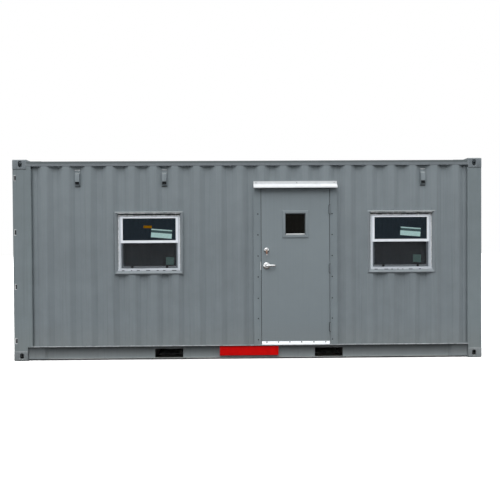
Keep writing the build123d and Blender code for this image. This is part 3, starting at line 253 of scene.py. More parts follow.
lower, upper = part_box("bottom_corner_castings"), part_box("top_corner_castings")
posts, door_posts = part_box("blind_end_posts"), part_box("door_end_posts")
web_low, web_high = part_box("front_bottom_rail")
tube_low, tube_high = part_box("top_side_rails")
joints = (lower[1].z, upper[0].z)
casting_l, post_round, fillet, butt_weld = 0.178, 0.004, 0.007, 0.006
bm = bmesh.new()
for side in (-1, 1):
    face_y = side * -posts[0].y
    for joint in joints:
        for ends in ((posts[0].x, posts[1].x), (door_posts[0].x + post_round, lower[0].x + casting_l)):
            lay_bead(bm, *level(ends, face_y, joint), (0, 0, 1), (0, side, 0), fillet)
    for end in (-1, 1):
        seam = end * (upper[1].x - casting_l)
        foot, head = (seam, face_y, tube_low.z), (seam, face_y, tube_high.z)
        lay_bead(bm, foot, head, (1, 0, 0), (0, side, 0), butt_weld)
        end_x = posts[1].x if end > 0 else door_posts[0].x + 0.02
        inner, outer = (end_x, side * 1.12, joints[0]), (end_x, side * 1.19, joints[0])
        lay_bead(bm, inner, outer, (0, 0, 1), (end, 0, 0), fillet)
weld_highlight_paint = grey_topcoat("pale_topcoat_painted_highlight_on_welds", "#a9b0b4", grain_mm=5, grain_rise_mm=0.3)
finish_piece("casting_welds", bm, "cabin", "frame_paint", weld_highlight_paint)
# The walls are seam welded to the posts, down the inner corner of each.
corner_seam, wall_set, slant = 0.014, 0.008, 0.7
bm = bmesh.new()
for side in (-1, 1):
    seam_y = side * (-posts[0].y - wall_set)
    for x, hand in ((door_posts[1].x + 0.002, 1), (posts[0].x - 0.002, -1)):
        foot, head = (x, seam_y, web_high.z + 0.002), (x, seam_y, joints[1])
        across, out = (slant, -side * slant * hand, 0), (slant * hand, side * slant, 0)
        lay_bead(bm, foot, head, across, out, corner_seam)
finish_piece("post_corner_seams", bm, "cabin", "frame_paint", frame_paint)
# Under the upper castings a dark bead runs just below the weld.
under_casting_line = 0.006
bm = bmesh.new()
for side in (-1, 1):
    for ends in ((door_posts[0].x + post_round, upper[0].x + casting_l), (posts[0].x, posts[1].x)):
        line = level(ends, side * -posts[0].y, joints[1] - under_casting_line)
        lay_bead(bm, *line, (0, 0, 1), (0, side, 0), under_casting_line)
under_casting_paint = grey_topcoat("dark_topcoat_under_upper_castings", "#3c4347", grain_mm=5, grain_rise_mm=0.3)
finish_piece("dark_lines_under_upper_castings", bm, "cabin", "frame_paint", under_casting_paint)


def blank(bm, outline, push, material=0):
    """A flat blank cut from plate: its outline, and the push that gives it thickness."""
    near = [bm.verts.new(spot) for spot in outline]
    far = [bm.verts.new(Vector(spot) + Vector(push)) for spot in outline]
    sides = [(near[i - 1], near[i], far[i], far[i - 1]) for i in range(len(near))]
    for face in (near, far[::-1], *sides):
        bm.faces.new(face).material_index = material


# Each end plate of the bottom rails is closed to the web behind it by a folded gusset.
plate_l, plate_set, web_set, flange_t, gusset_run = 0.210, 0.018, 0.048, 0.0045, 0.045
bm = bmesh.new()
for side in (-1, 1):
    for end in (-1, 1):
        edge = end * (web_high.x - plate_l)
        front, back = side * (-web_low.y - plate_set), side * (-web_low.y - web_set)
        outline = [(edge, front), (edge - end * gusset_run, back), (edge, back)]
        push = (0, 0, web_high.z - flange_t - web_low.z)
        blank(bm, [(x, y, web_low.z) for x, y in outline], push)
finish_piece("rail_end_gussets", bm, "cabin", "frame_paint", foot_paint)

# Underframe: pressed cross members and fork pocket plates hung between the bottom rails.
# Under the floor everything is sprayed with black bitumen wax, thick, dull and lumpy.
bitumen, tree = new_finish("black_bitumen_wax")
place = add(tree, "TexCoord").outputs["Object"]
lump = add(tree, "TexNoise", {"Scale": 1 / 0.012, "Detail": 4, "Vector": place})
road_dust = add(tree, "TexNoise", {"Scale": 1 / 0.15, "Detail": 6, "Roughness": 0.65, "Vector": place})
tone = add(tree, "ValToRGB", {"Fac": road_dust}, stops=((0.4, "#171817"), (0.85, "#3a3731")))
skin = add(tree, "Bump", {"Distance": 0.0012, "Height": lump})
surface = add(tree, "BsdfPrincipled", {"IOR": 1.5, "Roughness": 0.62, "Base Color": tone, "Normal": skin})
add(tree, "OutputMaterial", {"Surface": surface})
for node in ("cross_members", "fork_pocket_plates"):
    coat(node, bitumen, edge_mm=1)

# Floor: 28 mm hardwood plywood sheets, laid lengthwise and screwed down to the cross members.
# The phenolic face is red-brown and scuffed, with its grain along the container.
plywood, tree = new_finish("phenolic_faced_plywood")
place = add(tree, "TexCoord").outputs["Object"]
# Grain lines are 2 to 6 mm apart and run for half a metre.
along = add(tree, "Mapping", {"Scale": (1 / 0.5, 1 / 0.004, 1 / 0.002), "Vector": place})
grain = add(tree, "TexNoise", {"Scale": 1.0, "Detail": 4, "Distortion": 0.6, "Vector": along})
tone = add(tree, "ValToRGB", {"Fac": grain}, stops=((0.3, "#5b3a26"), (0.7, "#8a5f3f")))
scuff = add(tree, "TexNoise", {"Scale": 1 / 0.3, "Detail": 8, "Roughness": 0.7, "Vector": place})
scuff = add(tree, "MapRange", {"From Min": 0.5, "From Max": 0.8, "To Max": 0.5, "Value": scuff})
worn = add(tree, "Mix", {"data_type": "RGBA", 0: scuff, 6: tone, 7: hex_colour("#a08a72")}).outputs[2]
skin = add(tree, "Bump", {"Distance": 0.0003, "Height": grain})
surface = add(tree, "BsdfPrincipled", {"IOR": 1.5, "Roughness": 0.5, "Base Color": worn, "Normal": skin})
add(tree, "OutputMaterial", {"Surface": surface})
coat("floor_boards", plywood, edge_mm=1)


# Floor screws: rows of eight countersunk self-tappers, driven into every other cross member.
# Zinc plate wears to a dull silver on the heads.
def turned(bm, profile, centre, facing, sides=16, turn=0.0):
    """Lathe work: profile is a list of (radius, height) from the seat outwards."""
    spin = Vector((0, 0, 1)).rotation_difference(Vector(facing)).to_matrix()
    rings = []
    for radius, rise in profile:
        angles = [turn + 2 * math.pi * i / sides for i in range(sides if radius else 1)]
        spots = [Vector((radius * math.cos(a), radius * math.sin(a), rise)) for a in angles]
        rings.append([bm.verts.new(Vector(centre) + spin @ spot) for spot in spots])
    for inner, outer in zip(rings, rings[1:]):
        for i in range(sides):
            j = (i + 1) % sides
            if len(inner) == 1:
                made = bm.faces.new((inner[0], outer[j], outer[i]))
            elif len(outer) == 1:
                made = bm.faces.new((inner[i], inner[j], outer[0]))
            else:
                made = bm.faces.new((inner[i], inner[j], outer[j], outer[i]))
            made.smooth = sides > 8
    for rim in (rings[0], rings[-1]):
        if len(rim) > 1:
            bm.faces.new(rim)


def mottled_skin(name, colour, roughness, brush_mm=None, blotch=0.1, metal=1.0, shine=0.5):
    """Bare or plated metal: blotches change how sharply it reflects. A matt oxide or dirt film
    over it scatters the rest of the light, which a metal value below 1 stands for, and at 0 the
    skin is no metal but a tape, a foam, a grease or a baked coat."""
    finish, tree = new_finish(name)
    place = add(tree, "TexCoord").outputs["Object"]
    patch = add(tree, "TexNoise", {"Scale": 1 / 0.06, "Detail": 5, "Roughness": 0.6, "Vector": place})
    span = {"From Min": 0.3, "From Max": 0.7, "To Min": roughness - blotch / 2, "To Max": roughness + blotch}
    rough = add(tree, "MapRange", {**span, "Value": patch})
    tone = add(tree, "ValToRGB", {"Fac": patch}, stops=((0.3, colour, 0.88), (0.7, colour)))
    look = {"Metallic": metal, "Specular IOR Level": shine, "Base Color": tone, "Roughness": rough}
    if brush_mm:
        fine = 1000 / brush_mm
        lines = add(tree, "Mapping", {"Scale": (1 / 0.3, fine, fine), "Vector": place})
        lines = add(tree, "TexNoise", {"Scale": 1.0, "Detail": 2, "Vector": lines})
        look["Normal"] = add(tree, "Bump", {"Distance": 0.0001, "Height": lines})
    add(tree, "OutputMaterial", {"Surface": add(tree, "BsdfPrincipled", look)})
    return finish


def solids(node):
    """Lowest and highest corners of each separate solid of a CAD node, from -X to +X."""
    bm = bmesh.new()
    bm.from_mesh(steelwork[node].data)
    bmesh.ops.remove_doubles(bm, verts=bm.verts[:], dist=0.00002)
    left, found = set(bm.verts), []
    while left:
        shell, front = set(), [left.pop()]
        while front:
            here = front.pop()
            shell.add(here)
            for edge in here.link_edges:
                there = edge.other_vert(here)
                if there in left:
                    left.discard(there)
                    front.append(there)
        spots = [v.co for v in shell]
        found.append([Vector([pick(c[i] for c in spots) for i in range(3)]) for pick in (min, max)])
    bm.free()
    return sorted(found, key=lambda pair: [round(c, 4) for c in pair[0]])


zinc_plate = mottled_skin("dull_zinc_plate", "#a9abab", 0.45, blotch=0.2)
board_low, board_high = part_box("floor_boards")
sunk_head = [(0.007, 0), (0.007, 0.0006), (0.0055, 0.0009), (0.003, 0.0005), (0, 0.0001)]
screws_across, edge_gap, sunk = 8, 0.09, 0.0004
pitch = (board_high.y - board_low.y - 2 * edge_gap) / (screws_across - 1)
bm = bmesh.new()
for low, high in solids("cross_members")[::2]:
    for row in range(screws_across):
        spot = ((low.x + high.x) / 2, board_low.y + edge_gap + row * pitch, board_high.z - sunk)
        turned(bm, sunk_head, spot, (0, 0, 1), 10)
finish_piece("floor_screws", bm, "cabin", "plywood", zinc_plate)


# Warning plate: a folded tray of 2 mm sheet, enamelled bright red and left bare of words.
# It hooks over the web of the bottom rail, on four rivets, and the sun has faded its gloss.
def blotched(name, stops, skin, blotch_mm, detail=5, contrast=0.5, rise_mm=0.0):
    """Enamel, sealant, rubber and vinyl all age in blotches, from one tone to the other, and
    swell or sink a little with them."""
    finish, tree = new_finish(name)
    place = add(tree, "TexCoord").outputs["Object"]
    size = {"Scale": 1000 / blotch_mm, "Detail": detail, "Roughness": contrast}
    blotch = add(tree, "TexNoise", {**size, "Vector": place})
    look = {**skin, "Base Color": add(tree, "ValToRGB", {"Fac": blotch}, stops=stops)}
    if rise_mm:
        look["Normal"] = add(tree, "Bump", {"Distance": rise_mm / 1000, "Height": blotch})
    add(tree, "OutputMaterial", {"Surface": add(tree, "BsdfPrincipled", look)})
    return finish


def four_corners(left, right, foot, head):
    return [(left, foot), (right, foot), (right, head), (left, head)]


reds = ((0.3, "#bd0303"), (0.7, "#d60606"))
gloss = {"Roughness": 0.45, "IOR": 1.5, "Specular IOR Level": 0.12}
red_enamel = blotched("red_gloss_enamel", reds, gloss, blotch_mm=90, detail=6, contrast=0.6, rise_mm=0.4)
plate_x, plate_z, rivet_set = (-0.380, 0.380), (0.047, 0.166), 0.018
plate_front, plate_back = web_low.y + 0.012, web_low.y + 0.0425
# The tray is folded back all round, over a rounded edge, and is faintly dished.
folds = [
    (0.0, plate_back),
    (0.0, plate_front + 0.004),
    (0.0012, plate_front + 0.0012),
    (0.004, plate_front),
    (0.008, plate_front + 0.0003),
]
bm = bmesh.new()
rows = []
for inset, depth in folds:
    fold = four_corners(plate_x[0] + inset, plate_x[1] - inset, plate_z[0] + inset, plate_z[1] - inset)
    rows.append([bm.verts.new((x, depth, z)) for x, z in fold])
for here, there in zip(rows, rows[1:]):
    for i in range(4):
        bm.faces.new((here[i], here[i - 1], there[i - 1], there[i])).smooth = True
bm.faces.new(rows[-1])
tray = finish_piece("red_plate", bm, "cabin", "frame_paint", red_enamel)
thick = tray.modifiers.new("sheet", "SOLIDIFY")
thick.thickness, thick.offset = 0.002, 0.0
dome_head = [(0.005, 0), (0.0047, 0.0012), (0.0028, 0.0023), (0, 0.0027)]
bm = bmesh.new()
for x in (plate_x[0] + rivet_set, plate_x[1] - rivet_set):
    for z in (plate_z[0] + rivet_set, plate_z[1] - rivet_set):
        turned(bm, dome_head, (x, plate_front - 0.0008, z), (0, -1, 0), 12)
finish_piece("red_plate_rivets", bm, "cabin", "frame_paint", red_enamel)

# Roof: 2 mm die-stamped sheet, its cross ribs pressed up, welded to the rails, with doubler
# plates beside the castings. Rain leaves tide marks of dust round each rib.
roof_paint = grey_topcoat(
    "grey_topcoat_on_roof_sheet", "#6d7579", grain_rise_mm=0.1, dent_mm=4, streaks=0.5, gloss=0.5
)
coat("roof_panel", roof_paint, edge_mm=4)
coat("roof_corner_plates", roof_paint, edge_mm=1)

# Side and end walls: 2 mm weathering steel, pressed into corrugations and seam welded to the
# rails. The paint on them carries the rain streaks, and the flats are slightly dented.
wall_paint = grey_topcoat("grey_topcoat_on_corrugated_sheet", "#7b8489", grain_mm=12, dent_mm=5, streaks=0.32)
# The upper half is coloured a shade paler, from 1.3 m up to 2.3 m.
stain(wall_paint, "#a9b4b9", "Z", 1.3, 2.3, most=0.13)
for node in ("front_wall_left", "front_wall_right", "front_wall_over_door", "back_wall", "blind_end_wall"):
    coat(node, wall_paint)


# Wall foot seam: grey polyurethane sealant, gunned along the joint of the walls and the bottom
# rails. It stands a few millimetres proud and skins over smooth, and dirt sticks to it. It is
# coloured paler than the walls, partly as a painted highlight along the edge of the flange.
def gunned_sealant(name, colour):
    """Sealant skins over half matt, and grime settles on it in patches 40 mm across."""
    grimy = ((0.35, colour, 0.6), (0.6, colour))
    return blotched(name, grimy, {"Roughness": 0.55, "IOR": 1.48}, blotch_mm=40, contrast=0.65, rise_mm=0.6)


seam_sealant_and_highlight = gunned_sealant("pale_sealant_and_painted_highlight", "#a0a6aa")
seam_w, seam_set, seam_rise = 0.013, 0.0015, 0.001
bm = bmesh.new()
for side in (-1, 1):
    line = level((door_posts[1].x, posts[0].x), side * (-web_low.y - seam_set), web_high.z + seam_rise)
    lay_bead(bm, *line, (0, 0, 1), (0, side, 0), seam_w)
finish_piece("wall_foot_seams", bm, "cabin", "wall_paint", seam_sealant_and_highlight)

# Ventilators: pressed labyrinth hoods over a slot high in the wall, sealed and riveted on.
# They are painted with the wall, and the slats in the mouth under each hood are coloured near
# black as painted shade.
luck = random.Random(7)


def gun_bead(bm, start, end, across, out, width, lump):
    """A bead laid by hand: short runs end to end, each a little fatter or thinner than the last."""
    start, end = Vector(start), Vector(end)
    count = max(1, round((end - start).length / lump))
    for i in range(count):
        fat = width * luck.uniform(0.6, 1.25)
        lay_bead(bm, start.lerp(end, i / count), start.lerp(end, (i + 1) / count), across, out, fat)


coat("vents", wall_paint, edge_mm=1)
blind_rivet = [(0.004, 0), (0.0038, 0.001), (0.0022, 0.0019), (0, 0.0022)]
bead_w, bead_run, shadow_strip_w, rivet_reach = 0.012, 0.025, 0.008, 0.030
slats, slat_half, slat_t, mouth_h, mouth_rise = 4, 0.027, 0.0012, 0.036, 0.021
high_edge, low_edge = (0.006, 0.009), (0.018, 0.0)
slat = ((*high_edge, -slat_half), (*low_edge, -slat_half), (*low_edge, slat_half), (*high_edge, slat_half))
vent_rivets, vent_highlight_beads, vent_slats, vent_shadow_strips = bmesh.new(), bmesh.new(), bmesh.new(), bmesh.new()
for low, high in solids("vents"):
    side = -1 if low.y < 0 else 1
    flange = side * (min(abs(low.y), abs(high.y)) + 0.003)
    middle, ends = (low.x + high.x) / 2, (low.x, high.x)
    for reach in (-rivet_reach, rivet_reach):
        for rise in (low.z + 0.014, high.z - 0.012):
            turned(vent_rivets, blind_rivet, (middle + reach, flange, rise), (0, side, 0), 10)
    # A pale bead along the top edge is a painted highlight, and a black strip under the foot is a painted
    # shadow.
    gun_bead(vent_highlight_beads, *level(ends, flange, high.z - 0.001), (0, 0, 1), (0, side, 0), bead_w, bead_run)
    lay_bead(vent_shadow_strips, *level(ends, flange - side * 0.002, low.z - 0.003), (0, 0, 1), (0, side, 0), shadow_strip_w)
    # Sloping slats fill the mouth of the hood, coloured near black as painted shade.
    for step in range(slats):
        foot = low.z + mouth_rise + step * mouth_h / slats
        outline = [(middle + x, flange + side * depth, foot + rise) for depth, rise, x in slat]
        blank(vent_slats, outline, (0, 0, slat_t))
finish_piece("vent_rivets", vent_rivets, "cabin", "vent_paint", wall_paint)
vent_highlight_finish = gunned_sealant("pale_vent_bead_painted_highlight", "#e2e6e8")
finish_piece("vent_top_highlights", vent_highlight_beads, "cabin", "vent_paint", vent_highlight_finish)
vent_shadow_finish = mottled_skin("black_strip_painted_shadow_under_vents", "#1a1b1c", 0.6, metal=0.0, shine=0.1)
finish_piece("vent_shadow_strips", vent_shadow_strips, "cabin", "gasket_rubber", vent_shadow_finish)
vent_mouth_shade = mottled_skin("near_black_vent_slats_painted_shade", "#303437", 0.6, metal=0.0, shine=0.1)
finish_piece("vent_baffles", vent_slats, "cabin", "vent_paint", vent_mouth_shade)

# Cargo doors: two leaves of sheet in a tube frame, closed on a black EPDM gasket.
# The hinges, keepers and catches are painted with them.
door_end_paint = grey_topcoat("grey_topcoat_on_cargo_doors", "#798186", dent_mm=3, streaks=0.4)
for node in ("cargo_door_right", "cargo_door_left"):
    coat(node, door_end_paint, edge_mm=2)
for node in ("cam_keepers", "handle_catches"):
    coat(node, door_end_paint, edge_mm=1)
# Their hinges turn inside the posts, where the paint has worn off and grease holds dirt; the near
# black there is partly painted shade inside the slots. Pale rims along the slots are painted highlights.
hinge_paint = grey_topcoat("grey_topcoat_greased_and_shaded_hinges", "#798186")
stain(hinge_paint, "#10151a", "X", -2.9795, -2.9825)
coat("cargo_door_hinges", hinge_paint, edge_mm=1)
barrel_r, rim_w, slot_end = 0.014, 0.007, -2.983
knuckle = [(0.0128, 0), (0.0128, 0.006)]
hinge_lugs, cut_rims = bmesh.new(), bmesh.new()
for low, high in solids("cargo_door_hinges"):
    side = 1 if high.y > 0 else -1
    barrel_y = side * (max(abs(low.y), abs(high.y)) - barrel_r)
    for rise in (low.z + 0.0005, high.z - 0.0065):
        turned(hinge_lugs, knuckle, (low.x + barrel_r, barrel_y, rise), (0, 0, 1), 20)
    back = barrel_y - side * 0.016
    lug = four_corners(low.x + 0.001, low.x + 0.028, low.z + 0.002, high.z - 0.002)
    blank(hinge_lugs, [(x, back, z) for x, z in lug], (0, -side * 0.006, 0))
    for rise in (low.z - 0.004, high.z + 0.004):
        line = level((low.x + 0.001, slot_end), side * posts[1].y, rise)
        lay_bead(cut_rims, *line, (0, 0, 1), (0, side, 0), rim_w)
grease_and_shade = mottled_skin("black_grease_and_painted_shade", "#12181d", 0.6, metal=0.0, shine=0.08)
lugs = finish_piece("cargo_hinge_lugs", hinge_lugs, "cabin", "hardware_paint", grease_and_shade)
round_edges(lugs, 1)
slot_rim_highlight = mottled_skin("pale_slot_rim_painted_highlight", "#c3c8cb", 0.5, metal=0.4)
finish_piece("hinge_slot_rims", cut_rims, "cabin", "frame_paint", slot_rim_highlight)
# EPDM blooms as it ages, from black to a patchy dark grey.
bloom = ((0.35, "#161616"), (0.8, "#2e2e2d"))
rubber = blotched("black_epdm_rubber", bloom, {"IOR": 1.52, "Roughness": 0.7}, blotch_mm=50, detail=6)
coat("cargo_door_gasket", rubber)

# Lock gear: rods, straps and handles are hot-dip galvanised and left unpainted.
# The zinc has dried to a grey with crystals a finger wide.
galvanised, tree = new_finish("hot_dip_galvanised_steel")
place = add(tree, "TexCoord").outputs["Object"]
crystal = add(tree, "TexVoronoi", {"Scale": 1 / 0.018, "Vector": place}).outputs["Color"]
tone = add(tree, "ValToRGB", {"Fac": crystal}, stops=((0.0, "#868a8c"), (1.0, "#b4b8ba")))
rough = add(tree, "MapRange", {"To Min": 0.38, "To Max": 0.6, "Value": crystal})
surface = add(tree, "BsdfPrincipled", {"Metallic": 0.9, "Base Color": tone, "Roughness": rough})
add(tree, "OutputMaterial", {"Surface": surface})
for node in ("lock_rods", "lock_rod_brackets", "lock_handles"):
    coat(node, galvanised, edge_mm=1)

# Door-end bolts: M12 hex bolts through the feet of each strap and the blade of each hinge.
# They are galvanised too, and each stops at its own angle.
hex_head = [(0.012, 0), (0.012, 0.002), (0.0095, 0.002), (0.0095, 0.0085), (0.008, 0.0095), (0, 0.0095)]
strap_t, blade_t, strap_edge, blade_holes = 0.006, 0.010, 0.0115, (0.075, 0.12, 0.165)
bm = bmesh.new()
for low, high in solids("lock_rod_brackets"):
    for y in (low.y + strap_edge, high.y - strap_edge):
        spot = (high.x - strap_t, y, (low.z + high.z) / 2)
        turned(bm, hex_head, spot, (-1, 0, 0), 6, random.Random(y).random())
for low, high in solids("cargo_door_hinges"):
    outer, inward = (high.y, -1) if high.y > 0 else (low.y, 1)
    for reach in blade_holes:
        spot = (high.x - blade_t, outer + inward * reach, (low.z + high.z) / 2)
        turned(bm, hex_head, spot, (-1, 0, 0), 6, reach * 20)
finish_piece("door_end_bolts", bm, "cabin", "hardware_zinc", galvanised)

# Window surrounds: mitred steel mouldings, welded into the corrugated wall to give the windows
# a flat seat. They are painted with the wall.
surround_paint = grey_topcoat("grey_topcoat_on_window_steel", "#828a8f", grain_rise_mm=0.1, streaks=0.25)
coat("window_surrounds", surround_paint, edge_mm=1.5)

# Windows: single-hung aluminium windows, etched and clear-anodised, with the upper pane fixed
# in a deep sash and the lower one behind an insect screen. The matt oxide over the metal
# scatters nearly half of the light, and drawing lines run along the bars.
anodised = mottled_skin("matt_anodised_aluminium", "#cdd2d8", 0.5, brush_mm=1.5, metal=0.6)
coat("window_sashes", anodised, edge_mm=1.5)
# The outer frames take a darker copy of the sash finish, as painted shade on the jambs and head.
frame_shaded_anodised = mottled_skin("darker_anodised_aluminium_painted_shade", "#b3b9c0", 0.5, brush_mm=1.5, blotch=0.3, metal=0.6)
coat("window_frames", frame_shaded_anodised, edge_mm=1.5)

# Window fixings: a row of pan-head screws holds each head to its surround. White silicone is
# gunned round the frame by hand, ragged along both sides. Under the head a torn black strip and a
# black bead in the corner are painted shadow, a thick white head bead and a white run over the
# slope above are painted highlights, and black dashes along the sill are painted shade.
white_sealant_and_highlight = gunned_sealant("white_silicone_and_painted_highlight", "#f6f8f9")
black_shadow_finish = mottled_skin("black_painted_shadow", "#0b0b0b", 0.9, metal=0.0, shine=0.05)
pan_head = [(0.0048, 0), (0.0046, 0.001), (0.0034, 0.0023), (0.0014, 0.0027), (0.0008, 0.0016), (0, 0.0016)]
flange_set, screw_pitch, shadow_strip_t, dash_w, corner_shadow_w = 0.024, 0.117, 0.0012, 0.008, 0.013
# The width of each gunned bead, and how far the gun goes in one pull.
side_bead, thin_bead, head_highlight_bead, slope_highlight_bead = (0.011, 0.028), (0.007, 0.05), (0.015, 0.04), (0.016, 0.05)
head_screws, frame_beads, head_shadow, sill_shade = bmesh.new(), bmesh.new(), bmesh.new(), bmesh.new()
for low, high in solids("window_frames"):
    face, ends = low.y + flange_set, (low.x, high.x)
    reach = low.x + 0.030
    while reach < high.x - 0.01:
        turned(head_screws, pan_head, (reach, face - 0.003, high.z - 0.0165), (0, -1, 0), 12)
        reach += screw_pitch
    for hand, edge in ((1, low.x), (-1, high.x)):
        line = [(edge, face, z) for z in (low.z + 0.03, high.z)]
        gun_bead(frame_beads, *line, (1, 0, 0), (0, -1, 0), *side_bead)
        # A second, thinner run overlaps the first on the frame.
        line = [(edge + hand * 0.004, face - 0.001, z) for z in (low.z + 0.25, high.z - 0.02)]
        gun_bead(frame_beads, *line, (1, 0, 0), (0, -1, 0), *thin_bead)
    # Black dashes along the foot of the sill are painted shade.
    reach = low.x + 0.05
    while reach < high.x - 0.08:
        dash = luck.uniform(0.015, 0.060)
        line = level((reach, reach + dash), low.y, low.z + 0.001)
        lay_bead(sill_shade, *line, (0, 0, 1), (0, -1, 0), dash_w)
        reach += dash + luck.uniform(0.03, 0.09)
    # The black strip under the head is painted shadow, with a ragged foot 4 to 7 mm under the head.
    torn = [(low.x + 0.002, high.z - 0.005)]
    while torn[-1][0] < high.x - 0.03:
        torn.append((torn[-1][0] + luck.uniform(0.012, 0.028), high.z - luck.uniform(0.004, 0.007)))
    torn.append((high.x - 0.002, high.z - 0.005))
    for (x0, z0), (x1, z1) in zip(torn, torn[1:]):
        strip = [(x0, z0), (x1, z1), (x1, high.z - 0.0005), (x0, high.z - 0.0005)]
        blank(head_shadow, [(x, face - shadow_strip_t, z) for x, z in strip], (0, shadow_strip_t, 0))
    # The thick white head bead stands out past the nose of the surround: a painted highlight on the shaded
    # head.
    gun_bead(frame_beads, *level(ends, face, high.z - 0.011), (0, 0, 1), (0, -3.2, 0), *head_highlight_bead)
    # A black bead in the corner over it is painted shadow too.
    corner = level(ends, low.y + 0.006, high.z + 0.002)
    lay_bead(head_shadow, *corner, (0, -slant, slant), (0, -slant, -slant), corner_shadow_w)
    # A white run along the slope of the surround over the head is a painted highlight on that shaded slope.
    slope = level(ends, low.y - 0.0085, high.z + 0.0165)
    gun_bead(frame_beads, *slope, (0, -slant, slant), (0, -slant / 2, -slant / 2), *slope_highlight_bead)
finish_piece("window_head_screws", head_screws, "cabin", "window_aluminium", zinc_plate)
finish_piece("window_sealant_and_highlights", frame_beads, "cabin", "window_aluminium", white_sealant_and_highlight)
finish_piece("window_head_painted_shadow", head_shadow, "cabin", "gasket_rubber", black_shadow_finish)
finish_piece("window_sill_painted_shade", sill_shade, "cabin", "gasket_rubber", black_shadow_finish)


# Glass: 6 mm float, grey in the mass, so the unlit room behind it looks nearly black.
# Each pane sits in the groove of its sash, on the middle plane.
def float_glass(name, mass_tint, reflection_shade_tint):
    """Float glass is flat to a hair and mirrors 4% of what it faces; a grey tint on that
    reflection takes most of it back, as painted shade for dark surroundings."""
    finish, tree = new_finish(name)
    tints = {"Base Color": hex_colour(mass_tint), "Specular Tint": hex_colour(reflection_shade_tint)}
    look = {**tints, "IOR": 1.5, "Roughness": 0.01, "Transmission Weight": 1.0}
    add(tree, "OutputMaterial", {"Surface": add(tree, "BsdfPrincipled", look)})
    return finish


coat("window_glass", float_glass("grey_float_glass", "#7f8c98", "#8fa5b6"))


# Stickers: vinyl sheets and paper labels left on the panes, all bare but for one plain band.
# They were stuck on a little crooked, and a corner of each has lifted.
def sticker(bm, low_x, high_x, low_z, high_z, face_y, tilt, material, band=None):
    """A sheet in strips, so that one corner can curl away from the glass and a band can cross it."""
    strips, columns, band_strip = (0.0, 0.2, 0.4, 0.56, 0.87, 0.93, 1.0), 8, 3
    middle = Vector(((low_x + high_x) / 2, 0, (low_z + high_z) / 2))
    lean = Matrix.Rotation(math.radians(tilt), 3, "Y")
    rows = []
    for v in strips:
        row = []
        for i in range(columns + 1):
            u = i / columns
            curl = max(0.0, u + v - 1.6) ** 2 * 0.012
            flat = Vector((low_x + (high_x - low_x) * u, 0, low_z + (high_z - low_z) * v))
            spot = middle + lean @ (flat - middle)
            row.append(bm.verts.new((spot.x, face_y - 0.0006 - curl, spot.z)))
        rows.append(row)
    for j, (here, there) in enumerate(zip(rows, rows[1:])):
        for i in range(columns):
            face = bm.faces.new((here[i], here[i + 1], there[i + 1], there[i]))
            face.smooth = True
            face.material_index = band if band is not None and j == band_strip else material


def faded_vinyl(name, colour, blotch_mm=25, shine=0.5):
    """Calendered vinyl, or leather: smooth and half matt, faded in blotches by the sun."""
    faded = ((0.3, colour, 0.85), (0.7, colour, 1.05))
    skin = {"Roughness": 0.45, "IOR": 1.53, "Specular IOR Level": shine}
    return blotched(name, faded, skin, blotch_mm, rise_mm=0.2)


vinyl_sheet, vinyl_band, orange_strip, paper_label = range(4)
# Each place is measured from the left edge and the foot of its pane.
sheet_h, label_h = 0.110, 0.098
bm = bmesh.new()
for low, high in solids("window_glass"):
    left = low.x < 0
    if low.z > 1.5:
        spot = (low.x + 0.366, low.x + 0.634) if left else (low.x + 0.338, low.x + 0.602)
        rise = low.z + (0.030 if left else 0.040)
        sticker(bm, *spot, rise, rise + sheet_h, low.y, 4.5, vinyl_sheet, band=vinyl_band)
        if left:
            sticker(bm, low.x + 0.268, low.x + 0.376, low.z + 0.158, low.z + 0.191, low.y, 1, orange_strip)
    else:
        spot = (low.x + 0.551, low.x + 0.653) if left else (low.x + 0.512, low.x + 0.616)
        rise = low.z + (0.014 if left else 0.030)
        sticker(bm, *spot, rise, rise + label_h, low.y, 1, paper_label)
vinyls = [
    faded_vinyl("pale_green_vinyl", "#a6c8c6"),
    faded_vinyl("dark_vinyl_band", "#3f5355", shine=0.1),
    faded_vinyl("orange_vinyl", "#855c02", shine=0.05),
    faded_vinyl("pale_mint_label", "#b4f0e6"),
]
finish_piece("pane_stickers", bm, "cabin", "window_glass", *vinyls)


# Insect screens: a roll-formed aluminium bar frame holds charcoal glass-fibre mesh, pressed into
# its groove. Two black spring plungers on the bottom bar let it be lifted out.
def ring(bm, low, high, side_bar, foot_bar, head_bar):
    """A flat rectangular frame between two corners, whose side bars take the second finish."""
    rims = []
    for y in (low.y, high.y):
        outside = four_corners(low.x, high.x, low.z, high.z)
        inside = four_corners(low.x + side_bar, high.x - side_bar, low.z + foot_bar, high.z - head_bar)
        rims += [[bm.verts.new((x, y, z)) for x, z in rim] for rim in (outside, inside)]
    front_out, front_in, back_out, back_in = rims
    for i in range(4):
        j = (i + 1) % 4
        for quad in (
            (front_out[i], front_out[j], front_in[j], front_in[i]),
            (back_out[j], back_out[i], back_in[i], back_in[j]),
            (front_out[j], front_out[i], back_out[i], back_out[j]),
            (front_in[i], front_in[j], back_in[j], back_in[i]),
        ):
            bm.faces.new(quad).material_index = i % 2


screen_bar, screen_head, screen_foot, tucked = 0.028, 0.016, 0.020, 0.002
plunger_reach, plunger_rise, cloth_set = (0.147, 0.597), 0.014, 0.003
plunger = [(0.016, 0), (0.016, 0.004), (0.014, 0.005), (0.014, 0.012), (0.011, 0.014), (0, 0.014)]
frames, cloths, plungers = bmesh.new(), bmesh.new(), bmesh.new()
for low, high in solids("window_screens"):
    ring(frames, low, high, screen_bar, screen_foot, screen_head)
    side, foot, head = screen_bar - tucked, screen_foot - tucked, screen_head - tucked
    cloth = four_corners(low.x + side, high.x - side, low.z + foot, high.z - head)
    cloths.faces.new([cloths.verts.new((x, high.y - cloth_set, z)) for x, z in cloth])
    for reach in plunger_reach:
        turned(plungers, plunger, (low.x + reach, low.y + 0.0005, low.z + plunger_rise), (0, -1, 0))
